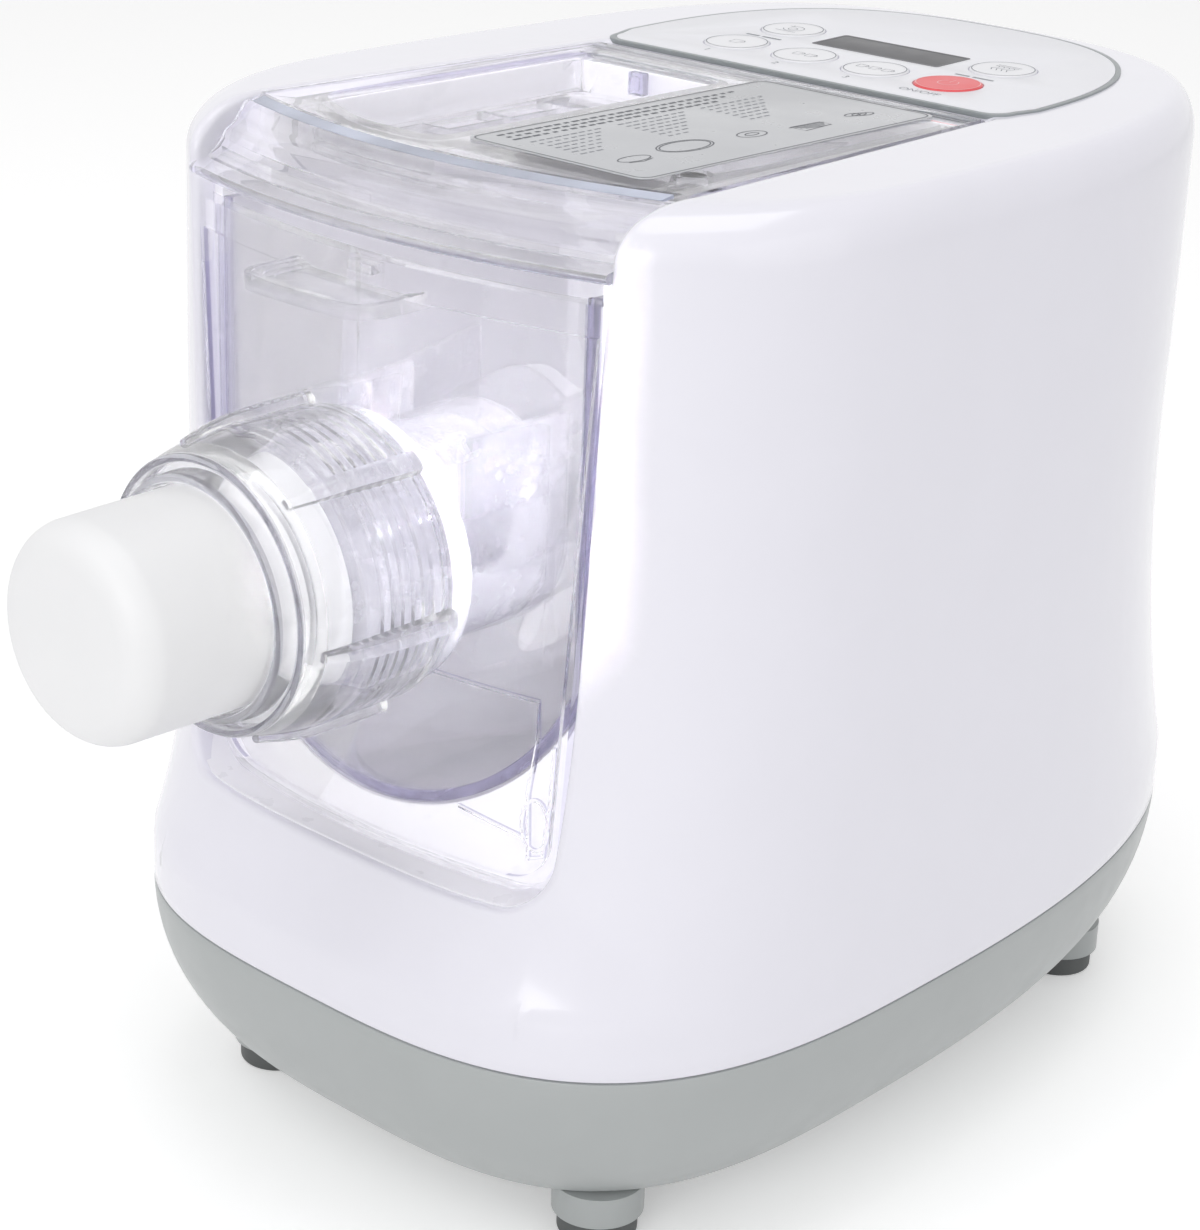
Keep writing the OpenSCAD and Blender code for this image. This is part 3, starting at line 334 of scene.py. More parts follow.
def combine(base: Piece, join: Join, *tools: Piece) -> Piece:
    """Boolean of closed solids.

    Args:
        base: The piece that is changed.
        join: What the tools do.
        tools: Solids used up by the step.

    Returns:
        The base.
    """
    for tool in tools:
        step = base.modifiers.new("step", "BOOLEAN")
        step.operation = join.value
        step.solver = "MANIFOLD"
        step.object = tool
    bake(base)
    for tool in tools:
        bpy.data.objects.remove(tool)
    return base


def tidy_mesh(piece: Piece, flat: float = 0.2) -> None:
    """Joins split vertices and dissolves edges inside flat faces.

    Args:
        piece: The piece.
        flat: Largest angle in degrees that counts as flat.
    """
    with editing(piece.data) as work:
        bmesh.ops.remove_doubles(work, verts=work.verts, dist=WELD * MM)
        bmesh.ops.dissolve_limit(work, angle_limit=math.radians(flat), verts=work.verts, edges=work.edges)


def shade(piece: Piece, angle: float = 32.0) -> Piece:
    """Smooth faces with sharp edges where they meet steeply.

    Args:
        piece: The piece.
        angle: Angle in degrees above which an edge stays sharp.

    Returns:
        The same piece.
    """
    with editing(piece.data) as work:
        for face in work.faces:
            face.smooth = True
        for edge in work.edges:
            edge.smooth = len(edge.link_faces) == 2 and edge.calc_face_angle(0.0) < math.radians(angle)
    return piece


def soften(piece: Piece, width: float, segments: int = 2,
           angle: float = 35.0) -> Piece:
    """Small rounding on every edge, as a mould gives.

    Args:
        piece: The piece.
        width: Width of the rounding in millimetres.
        segments: Faces across the rounding.
        angle: Edges that turn by more than this many degrees are rounded.

    Returns:
        The same piece.
    """
    tidy_mesh(piece)
    edge = piece.modifiers.new("edge", "BEVEL")
    edge.width = width * MM
    edge.segments = segments
    edge.limit_method = "ANGLE"
    edge.angle_limit = math.radians(angle)
    edge.use_clamp_overlap = True
    edge.miter_outer = "MITER_ARC"
    bake(piece)
    return shade(piece)


def transform(piece: Piece, matrix: Matrix) -> Piece:
    """Moves the vertices of a piece by a matrix in metres and returns the piece."""
    piece.data.transform(matrix)
    return piece


def ribbon(points: Sequence[Point2], width: float, height: float,
           closed: bool = False) -> tuple[list[Point3], list[tuple[int, ...]]]:
    """Flat printed stroke along a line.

    Args:
        points: Its middle line.
        width: Width of the stroke.
        height: Height at which it lies.
        closed: Whether it comes back to its start.

    Returns:
        Its vertices and faces.
    """
    n = len(points)
    verts: list[Point3] = []
    for i, p in enumerate(points):
        before = points[i - 1] if (i or closed) else p
        after = points[(i + 1) % n] if (i < n - 1 or closed) else p
        d = (Vector(after) - Vector(before)).normalized() * width / 2
        verts += [(p[0] - d.y, p[1] + d.x, height), (p[0] + d.y, p[1] - d.x, height)]
    count = n if closed else n - 1
    faces = [(2 * i, 2 * i + 1, (2 * i + 3) % (2 * n), (2 * i + 2) % (2 * n)) for i in range(count)]
    return verts, faces


def stroke_outline(points: Sequence[Point2], width: float) -> list[Point2]:
    """Closed outline of a stroke along a middle line."""
    sides = [v[:2] for v in ribbon(points, width, 0.0)[0]]
    return sides[0::2] + sides[1::2][::-1]


def print_strokes(name: str, strokes: Sequence[Stroke], width: float, height: float) -> Piece:
    """One mesh of several printed strokes.

    Args:
        name: Name of the piece.
        strokes: Lines with whether each is closed.
        width: Width of the strokes.
        height: Height at which they lie.

    Returns:
        The piece.
    """
    verts: list[Point3] = []
    faces: list[tuple[int, ...]] = []
    for line, closed in strokes:
        v, f = ribbon(line, width, height, closed)
        faces += [tuple(i + len(verts) for i in face) for face in f]
        verts += v
    piece = mesh_object(name, verts, faces)
    for polygon in piece.data.polygons:
        if polygon.normal.z < 0:
            polygon.flip()
    return piece


def merge(name: str, pieces: Sequence[Piece]) -> Piece:
    """Joins pieces into one object that keeps every material.

    Args:
        name: Name of the joined piece.
        pieces: Pieces used up by the step.

    Returns:
        The joined piece.
    """
    first, chosen = pieces[0], list(pieces)
    if len(chosen) > 1:
        with bpy.context.temp_override(active_object=first, object=first, selected_objects=chosen,
                                       selected_editable_objects=chosen):
            bpy.ops.object.join()
    first.name = name
    first.data.name = name
    return first


# ---------- finishes ----------


def linear(color: Rgb) -> tuple[float, float, float, float]:
    """Linear red, green, blue and 1 for a colour as seen."""
    made = [c / 12.92 if c <= 0.04045 else ((c + 0.055) / 1.055) ** 2.4 for c in color]
    return (made[0], made[1], made[2], 1.0)


class NodeGraph:
    """Short way to build a node tree."""

    def __init__(self, tree: bpy.types.NodeTree) -> None:
        """Empties the tree that is built."""
        self.tree = tree
        tree.nodes.clear()

    def add(self, kind: str, inputs: dict | None = None, **settings: object) -> bpy.types.Node:
        """Adds a node.

        Args:
            kind: Type of the node.
            inputs: Values or sockets for its inputs, by name or number.
            settings: Properties of the node.

        Returns:
            The node.
        """
        node = self.tree.nodes.new(kind)
        for key, value in settings.items():
            setattr(node, key, value)
        for key, value in (inputs or {}).items():
            if isinstance(value, Socket):
                self.tree.links.new(value, node.inputs[key])
            else:
                node.inputs[key].default_value = value
        return node

    def noise(self, where: Socket, scale: float, detail: float) -> Socket:
        """Adds a noise texture at the coordinates and gives its value from 0 to 1."""
        return self.add("ShaderNodeTexNoise", {"Vector": where, "Scale": scale, "Detail": detail}).outputs[0]

    def spread(self, value: Socket, low: float, high: float) -> Socket:
        """Maps 0.3..0.7, where most of a noise lies, to the range from low to high."""
        node = self.add("ShaderNodeMapRange",
                        {"Value": value, "From Min": 0.3, "From Max": 0.7, "To Min": low, "To Max": high})
        return node.outputs[0]

    def where(self) -> Socket:
        """Adds the place on the object."""
        return self.add("ShaderNodeTexCoord").outputs["Object"]

    def seen(self) -> Socket:
        """Adds a test that is 1 for what is seen straight on, through glass or in a mirror."""
        rays = self.add("ShaderNodeLightPath").outputs
        found = rays["Is Camera Ray"]
        for name in ("Is Transmission Ray", "Is Glossy Ray"):
            found = self.add("ShaderNodeMath", {0: found, 1: rays[name]}, operation="MAXIMUM").outputs[0]
        return found

    def surface(self, shader: bpy.types.Node) -> None:
        """Makes a shader the surface of the material."""
        self.add("ShaderNodeOutputMaterial", {"Surface": shader.outputs[0]})


@dataclass(frozen=True)
class Finish:
    """Opaque surface with fine grain and slight unevenness of colour and gloss."""

    name: str
    color: Rgb
    roughness: float
    metallic: float = 0.0
    coat: float = 0.0
    coat_roughness: float = 0.06
    grain: float = 0.02
    grain_scale: float = 2200.0
    bump: float = 0.35
    mottle: float = 0.012
    mottle_scale: float = 45.0
    gloss_change: float = 0.12
    gloss_scale: float = 120.0
    specular: float = 0.5

    def material(self) -> bpy.types.Material:
        """Builds the material once.

        Returns:
            The material.
        """
        name = f"{self.name}_finish"
        found = bpy.data.materials.get(name)
        if found:
            return found
        made = bpy.data.materials.new(name)
        made.use_nodes = True
        made.diffuse_color = linear(self.color)
        self.build(NodeGraph(made.node_tree))
        return made

    def tones(self, graph: NodeGraph, share: Socket, loss: float) -> Socket:
        """Mixes the colour with a darker tone of it.

        Args:
            graph: The tree that is built.
            share: Share of the darker tone.
            loss: Share of its brightness that the darker tone lacks.

        Returns:
            The mixed colour.
        """
        base = linear(self.color)
        darker = tuple(c * (1 - loss) for c in base[:3]) + (1.0,)
        return graph.add("ShaderNodeMix", {0: share, 6: base, 7: darker}, data_type="RGBA").outputs[2]

    def relief(self, graph: NodeGraph, height: Socket,
               value: Socket, depth: float) -> dict[str, Socket]:
        """Roughness that varies a little, and the normal of fine relief.

        Args:
            graph: The tree that is built.
            height: Height of the relief.
            value: Value that the roughness follows.
            depth: Depth of the relief in millimetres.

        Returns:
            The two inputs of a shader.
        """
        low, high = (self.roughness * (1 + s * self.gloss_change) for s in (-1, 1))
        bump = graph.add("ShaderNodeBump", {"Strength": self.bump, "Distance": depth * MM, "Height": height})
        return {"Roughness": graph.spread(value, low, high), "Normal": bump.outputs[0]}

    def build(self, graph: NodeGraph) -> None:
        """Builds the nodes of the surface.

        Args:
            graph: The empty tree.
        """
        where = graph.where()
        cloud = graph.spread(graph.noise(where, self.mottle_scale, 4.0), 0.0, 1.0)
        fine = graph.noise(where, self.grain_scale, 2.0)
        graph.surface(graph.add("ShaderNodeBsdfPrincipled", {
            "Base Color": self.tones(graph, cloud, self.mottle * 3), "Metallic": self.metallic,
            "Coat Weight": self.coat, "Coat Roughness": self.coat_roughness,
            "Specular IOR Level": self.specular,
            **self.relief(graph, fine, graph.noise(where, self.gloss_scale, 5.0), self.grain)}))


@dataclass(frozen=True)
class BrushedFinish(Finish):
    """Metal with fine turning lines along one direction."""

    stretch: Point3 = (60.0, 1800.0, 1800.0)
    bump: float = 0.2
    mottle: float = 0.12
    gloss_change: float = 0.25

    def build(self, graph: NodeGraph) -> None:
        """Builds the nodes of the surface.

        Args:
            graph: The empty tree.
        """
        lines = graph.add("ShaderNodeMapping", {"Vector": graph.where(), "Scale": self.stretch})
        value = graph.noise(lines.outputs[0], 3.0, 6.0)
        graph.surface(graph.add("ShaderNodeBsdfPrincipled", {
            "Base Color": self.tones(graph, value, self.mottle), "Metallic": self.metallic,
            **self.relief(graph, value, value, self.grain)}))


@dataclass(frozen=True)
class ClearFinish(Finish):
    """Clear moulded plastic with faint flow marks that lets most of the light through its shadow."""

    index: float = 1.3
    shadow: Rgb = (0.985, 0.985, 0.99)
    flow: float = 0.05
    flow_scale: float = 38.0
    bump: float = 0.3
    gloss_change: float = 0.4
    gloss_scale: float = 160.0
    body: float = 1.0
    clear: float = 1.0

    def build(self, graph: NodeGraph) -> None:
        """Builds the nodes of the surface.

        Args:
            graph: The empty tree.
        """
        where = graph.where()
        wave = graph.noise(where, self.flow_scale, 2.0)
        glass = graph.add("ShaderNodeBsdfPrincipled", {
            "Base Color": linear(self.color), "IOR": self.index, "Transmission Weight": self.clear,
            "Alpha": self.body,
            **self.relief(graph, wave, graph.noise(where, self.gloss_scale, 4.0), self.flow)})
        shadow = graph.add("ShaderNodeBsdfTransparent", {"Color": linear(self.shadow)})
        rays = graph.add("ShaderNodeLightPath").outputs
        graph.surface(graph.add("ShaderNodeMixShader", {
            0: rays["Is Shadow Ray"], 1: glass.outputs[0], 2: shadow.outputs[0]}))


@dataclass(frozen=True)
class FloorFinish(Finish):
    """Matt floor that looks white straight on or in glass and still shows a shadow."""

    specular: float = 0.1
    glow: float = 0.3

    def build(self, graph: NodeGraph) -> None:
        """Builds the nodes of the surface.

        Args:
            graph: The empty tree.
        """
        glow = graph.add("ShaderNodeMath", {0: graph.seen(), 1: self.glow}, operation="MULTIPLY")
        graph.surface(graph.add("ShaderNodeBsdfPrincipled", {
            "Base Color": linear(self.color), "Roughness": self.roughness,
            "Specular IOR Level": self.specular, "Emission Color": (1.0, 1.0, 1.0, 1.0),
            "Emission Strength": glow.outputs[0]}))


class Finishes:
    """Every finish of the machine."""

    SHELL = Finish("shell_white", (0.935, 0.93, 0.965), 0.16, coat=0.35, grain=0.01, mottle=0.004)
    BASE = Finish("base_grey", (0.70, 0.715, 0.715), 0.34, grain=0.03, grain_scale=3000.0, mottle=0.01)
    FOOT = Finish("foot_grey", (0.37, 0.38, 0.38), 0.6, grain=0.05)
    # Bay liner: the shell's white plastic made brighter, as painted light that lifts the shade inside the
    # bay.
    BAY_PAINTED_BRIGHT = Finish("bay_white", (0.975, 0.97, 0.99), 0.3, grain=0.01, mottle=0.003)
    CAP = Finish("cap_white", (0.95, 0.95, 0.955), 0.42, grain=0.02, mottle=0.006)
    INNER = Finish("inner_white", (0.93, 0.93, 0.94), 0.35, grain=0.02, mottle=0.006)
    PANEL = Finish("panel_white", (0.935, 0.935, 0.955), 0.4, grain=0.012, mottle=0.005)
    BORDER = Finish("panel_border_grey", (0.60, 0.62, 0.63), 0.4, grain=0.01)
    BUTTON = Finish("button_white", (0.94, 0.94, 0.955), 0.36, grain=0.012, mottle=0.005)
    RED = Finish("button_red", (0.93, 0.36, 0.38), 0.35, grain=0.012, mottle=0.008)
    INK = Finish("ink_grey", (0.56, 0.57, 0.60), 0.5, grain=0.0)
    INK_PALE = Finish("ink_pale", (0.98, 0.75, 0.76), 0.5, grain=0.0)
    INK_DARK = Finish("ink_dark", (0.36, 0.37, 0.40), 0.5, grain=0.0)
    SCREEN = Finish("screen_dark", (0.41, 0.41, 0.42), 0.45, grain=0.0, specular=0.25)
    SCREEN_EDGE = Finish("screen_edge", (0.36, 0.36, 0.38), 0.4, grain=0.0, specular=0.3)
    STRIP = Finish("lid_strip", (0.79, 0.81, 0.88), 0.35, grain=0.02, mottle=0.12)
    FILM = Finish("label_film", (0.77, 0.775, 0.79), 0.3, metallic=0.25, grain=0.015,
                  grain_scale=4000.0, mottle=0.02)
    RUBBER = Finish("seal_rubber", (0.2, 0.2, 0.22), 0.6, grain=0.05)
    GEAR = Finish("gear_white", (0.9, 0.9, 0.86), 0.45, grain=0.02)
    BLACK = Finish("black_plastic", (0.14, 0.14, 0.15), 0.45, grain=0.05)
    BOARD = Finish("board_green", (0.10, 0.33, 0.2), 0.3, coat=0.3, grain=0.04, mottle=0.05)
    WINDING = Finish("winding_yellow", (0.78, 0.62, 0.22), 0.4, grain=0.03, mottle=0.03)
    SLEEVE = Finish("sleeve_blue", (0.15, 0.2, 0.38), 0.35, grain=0.02)
    RELAY = Finish("relay_blue", (0.1, 0.2, 0.5), 0.4, grain=0.02)
    WIRE_RED = Finish("wire_red", (0.62, 0.1, 0.1), 0.45, grain=0.03)
    WIRE_GREY = Finish("wire_grey", (0.68, 0.68, 0.68), 0.45, grain=0.03)
    STEEL = BrushedFinish("steel_turned", (0.75, 0.76, 0.78), 0.3, metallic=1.0, grain=0.02)
    ZINC = BrushedFinish("zinc_plate", (0.62, 0.64, 0.66), 0.42, metallic=0.9, grain=0.04)
    BRASS = BrushedFinish("brass_cut", (0.8, 0.66, 0.32), 0.28, metallic=1.0, grain=0.02)
    CAN = BrushedFinish("motor_can", (0.5, 0.51, 0.53), 0.36, metallic=0.9, grain=0.03)
    LID = ClearFinish("clear_lid", (0.985, 0.984, 0.99), 0.02, index=1.3,
                      shadow=(0.99, 0.99, 0.992), body=0.75)
    WALL = ClearFinish("clear_wall", (0.99, 0.989, 0.994), 0.02, index=1.25,
                       shadow=(0.995, 0.995, 0.997), body=0.5)
    # Edge faces of the clear parts: the plastic's faint lavender tint, deepened with painted shade for the
    # dark lines that refraction shows along clear edges.
    EDGE_TINT_AND_SHADE = ClearFinish("clear_edge", (0.88, 0.87, 0.94), 0.08, index=1.25,
                       shadow=(0.94, 0.94, 0.97), body=0.8)
    # Darker lavender: painted shade for the dark refraction seen in the right side of the lid's front and in
    # the plate's rims.
    DEEP_PAINTED_SHADE = ClearFinish("clear_deep", (0.70, 0.69, 0.79), 0.08, index=1.3,
                       shadow=(0.9, 0.9, 0.94), body=0.9)
    FROST = ClearFinish("clear_frosted", (0.95, 0.945, 0.97), 0.22, index=1.25, body=0.8, clear=0.7)
    NUT = ClearFinish("clear_nut", (0.985, 0.985, 0.99), 0.015, index=1.35, flow=0.02, body=0.85)
    # Grey rings of the clear nut: painted shade for the dark rings that refraction shows in its front.
    RING_PAINTED_SHADE = ClearFinish("clear_ring", (0.66, 0.66, 0.69), 0.03, index=1.4, flow=0.02, body=0.85)
    SEAL = ClearFinish("seal_lavender", (0.88, 0.865, 0.965), 0.2, index=1.2,
                       shadow=(0.92, 0.91, 0.97))


def dress(piece: Piece, *finishes: Finish) -> Piece:
    """Gives a piece its materials.

    Args:
        piece: The piece.
        finishes: Finish of each material slot.

    Returns:
        The same piece.
    """
    piece.data.materials.clear()
    for finish in finishes:
        piece.data.materials.append(finish.material())
    return piece


def tint(piece: Piece, index: int, test: Callable[[Vector, Vector], bool]) -> None:
    """Moves faces to another material slot.

    Args:
        piece: The piece.
        index: Number of the slot.
        test: Says from the middle in millimetres and the normal of a face whether it moves.
    """
    for polygon in piece.data.polygons:
        if test(polygon.center / MM, polygon.normal):
            polygon.material_index = index


def show(piece: Piece, body: str, nodes: Sequence[str] = ()) -> None:
    """Sets a finished piece on its body.

    Args:
        piece: The piece, in place.
        body: CAD body that it moves with.
        nodes: CAD nodes that it stands for.
    """
    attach(piece, body)
    if nodes:
        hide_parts(*nodes)
    LOG.info("%s: %d faces on %s", piece.name, len(piece.data.polygons), body)


def show_copy(node: str, slot: str, finish: Finish, width: float, segments: int = 2,
              body: str = "housing") -> None:
    """Shows a softened copy of a CAD node.

    Args:
        node: Name of the node.
        slot: Name of a material slot; not used.
        finish: Its finish.
        width: Rounding of its edges in millimetres, 0 for none.
        segments: Faces across a rounding.
        body: CAD body that it moves with.
    """
    piece = linked(f"{node}_look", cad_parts[node].data.copy())
    with editing(piece.data) as work:
        bmesh.ops.remove_doubles(work, verts=work.verts, dist=WELD * MM * 0.5)
    piece = soften(piece, width, segments) if width else shade(piece)
    show(dress(piece, finish), body, [node])


# ---------- geometry nodes ----------


class Repeater:
    """Geometry Nodes group that sets one shape on every point of a mesh."""

    def __init__(self) -> None:
        """Builds the group with its named inputs."""
        tree = bpy.data.node_groups.new("Repeater", "GeometryNodeTree")
        side = tree.interface.new_socket
        kinds = {"Points": "Geometry", "Shape": "Object", "Spread": "Float", "Seed": "Int",
                 "Surface": "Material"}
        self.sockets = {name: side(name, in_out="INPUT", socket_type=f"NodeSocket{kind}")
                        for name, kind in kinds.items()}
        side("Geometry", in_out="OUTPUT", socket_type="NodeSocketGeometry")
        graph = NodeGraph(tree)
        given = graph.add("NodeGroupInput").outputs
        shape = graph.add("GeometryNodeObjectInfo", {"Object": given["Shape"]}, transform_space="ORIGINAL")
        turn, size = (graph.add("GeometryNodeInputNamedAttribute", {"Name": name}, data_type="FLOAT_VECTOR")
                      for name in ("turn", "size"))
        least = graph.add("ShaderNodeMath", {0: 1.0, 1: given["Spread"]}, operation="SUBTRACT")
        chance = graph.add("FunctionNodeRandomValue", {2: least.outputs[0], 3: 1.0, "Seed": given["Seed"]},
                           data_type="FLOAT")
        along = graph.add("ShaderNodeCombineXYZ", {0: chance.outputs[1], 1: 1.0, 2: 1.0})
        scale = graph.add("ShaderNodeVectorMath", {0: size.outputs[0], 1: along.outputs[0]},
                          operation="MULTIPLY")
        placed = graph.add("GeometryNodeInstanceOnPoints", {
            "Points": given["Points"], "Instance": shape.outputs["Geometry"],
            "Rotation": turn.outputs[0], "Scale": scale.outputs[0]})
        real = graph.add("GeometryNodeRealizeInstances", {0: placed.outputs[0]})
        dressed = graph.add("GeometryNodeSetMaterial", {"Geometry": real.outputs[0],
                                                        "Material": given["Surface"]})
        graph.add("NodeGroupOutput", {0: dressed.outputs[0]})
        self.tree = tree

    def spread(self, name: str, shape: Piece, points: Sequence[Point3], finish: Finish,
               turns: Sequence[Point3] | None = None, sizes: Sequence[Point3] | None = None,
               uneven: float = 0.0, seed: int = 7) -> Piece:
        """Sets copies of a shape on points and makes them one plain mesh.

        Args:
            name: Name of the result.
            shape: Shape drawn about the origin; it is used up.
            points: Places in millimetres.
            finish: Finish of the copies.
            turns: Turn of each copy, in radians about X, Y and Z.
            sizes: Size of each copy along X, Y and Z.
            uneven: Share by which lengths along X vary.
            seed: Seed of that variation.

        Returns:
            The joined copies.
        """
        mesh = bpy.data.meshes.new(name)
        mesh.from_pydata([tuple(c * MM for c in p) for p in points], [], [])
        host = linked(name, mesh)
        for key, values, plain in (("turn", turns, (0.0, 0.0, 0.0)), ("size", sizes, (1.0, 1.0, 1.0))):
            layer = mesh.attributes.new(key, "FLOAT_VECTOR", "POINT")
            layer.data.foreach_set("vector", np.array(values or [plain] * len(points), np.float32).ravel())
        step = host.modifiers.new("repeat", "NODES")
        step.node_group = self.tree
        given = {"Shape": shape, "Spread": uneven, "Seed": seed, "Surface": finish.material()}
        for key, value in given.items():
            step[self.sockets[key].identifier] = value
        bake(host)
        bpy.data.objects.remove(shape)
        return host


# ---------- shape of the body ----------


@dataclass(frozen=True)
class BodyShape:
    """Outline of the housing in millimetres, as the CAD has it."""

    half_width: float = 103.0
    top_half_width: float = 99.7
    front_reach: float = 116.0
    rear_reach: float = 183.0
    waist_front: float = 99.0
    waist_rear: float = 151.0
    top_front: float = 100.5
    top_rear: float = 153.0
    seam: float = 58.5
    flare: float = 72.0
    waist: float = 195.0
    top: float = 260.0
    tilt: float = 1.5
    edge_across: float = 7.0
    edge_front: float = 19.0
    edge_down: float = 12.0
    base_low: float = 7.0
    base_inset: float = 45.0
    deck_start: float = 52.7
    tilt_low: float = 150.0
    front_power: float = 3.1
    rear_powers: Point2 = (2.5, 2.96)

    def rear_power(self, z: float) -> float:
        """Squareness of the rear half at a height."""
        return lerp(*self.rear_powers, clamp01((z - self.flare) / (self.top - self.flare)))

    def level(self, z: float, inset: float = 0.0, across: float = 0.0, front: float = 0.0) -> Point3:
        """Half width and reaches of the body at a height.

        Args:
            z: Height.
            inset: Distance inside the surface.
            across: Rounding taken off the sides and the rear.
            front: Rounding taken off the front.

        Returns:
            Half width, forward reach and backward reach.
        """
        neck = clamp01((self.waist - z) / (self.waist - self.flare))
        crown = max(0.0, (z - self.waist) / (self.top - self.waist))
        return (
            lerp(self.half_width, self.top_half_width, crown) - inset - across,
            lerp(self.waist_front, self.top_front, crown)
            + (self.front_reach - self.waist_front) * neck ** 4 - inset - front,
            lerp(self.waist_rear, self.top_rear, crown)
            + (self.rear_reach - self.waist_rear) * neck ** 2 - inset - across,
        )

    def edge_level(self, turn: float, inset: float = 0.0) -> Level:
        """Height and reaches on the rounding of the deck edge.

        Args:
            turn: 0 at the wall and 90 at the deck, in degrees.
            inset: Distance inside the surface.

        Returns:
            The height and the level.
        """
        a = math.radians(turn)
        z = self.top - self.edge_down + (self.edge_down - inset) * math.sin(a)
        cut = 1 - math.cos(a)
        return z, self.level(z, inset, self.edge_across * cut, self.edge_front * cut)

    def lift(self, y: float, z: float) -> float:
        """Rise of the tilted deck behind the lid, which fades out down the rear wall."""
        fade = clamp01((z - self.tilt_low) / (self.top - self.tilt_low))
        return max(0.0, y - self.deck_start) * math.tan(math.radians(self.tilt)) * fade

    def point(self, turn: float, z: float, level: Point3) -> Point3:
        """Point of the outline.

        Args:
            turn: Angle in degrees, 0 at +X and 90 at the rear.
            z: Height.
            level: Half width and reaches.

        Returns:
            The point, raised with the deck.
        """
        c, s = math.cos(math.radians(turn)), math.sin(math.radians(turn))
        power = self.rear_power(z) if s >= 0 else self.front_power
        x = level[0] * signed_pow(c, 2 / power)
        y = (level[2] if s >= 0 else level[1]) * signed_pow(s, 2 / power)
        return (x, y, z + self.lift(y, z))

    def front_y(self, x: float, level: Point3) -> float:
        """Place of the front wall at x, for a level."""
        return -level[1] * (1 - min(1.0, abs(x) / level[0]) ** self.front_power) ** (1 / self.front_power)

    def loft(self, name: str, levels: Sequence[Level], count: int = 240) -> Piece:
        """Closed solid through outlines.

        Args:
            name: Name of the solid.
            levels: Height and level of each ring, from low to high.
            count: Points around.

        Returns:
            The solid.
        """
        points = [self.point(90 + 360 * i / count, z, lev) for z, lev in levels for i in range(count)]
        faces = grid_faces(len(levels), count, closed=True)
        for start in (0, (len(levels) - 1) * count):
            half, end = start + count // 2, start + count
            faces += [(start, start + 1, end - 1), (half, half + 1, half - 1)]
            faces += [(start + i, start + i + 1, end - i - 1, end - i) for i in range(1, count // 2 - 1)]
        return mesh_object(name, points, faces)

    def deck_matrix(self) -> Matrix:
        """Move from deck coordinates, with z = 0 on the deck, to the machine."""
        y = self.deck_start * MM
        return (Matrix.Translation((0, y, self.top * MM)) @ Matrix.Rotation(math.radians(self.tilt), 4, "X")
                @ Matrix.Translation((0, -y, 0)))


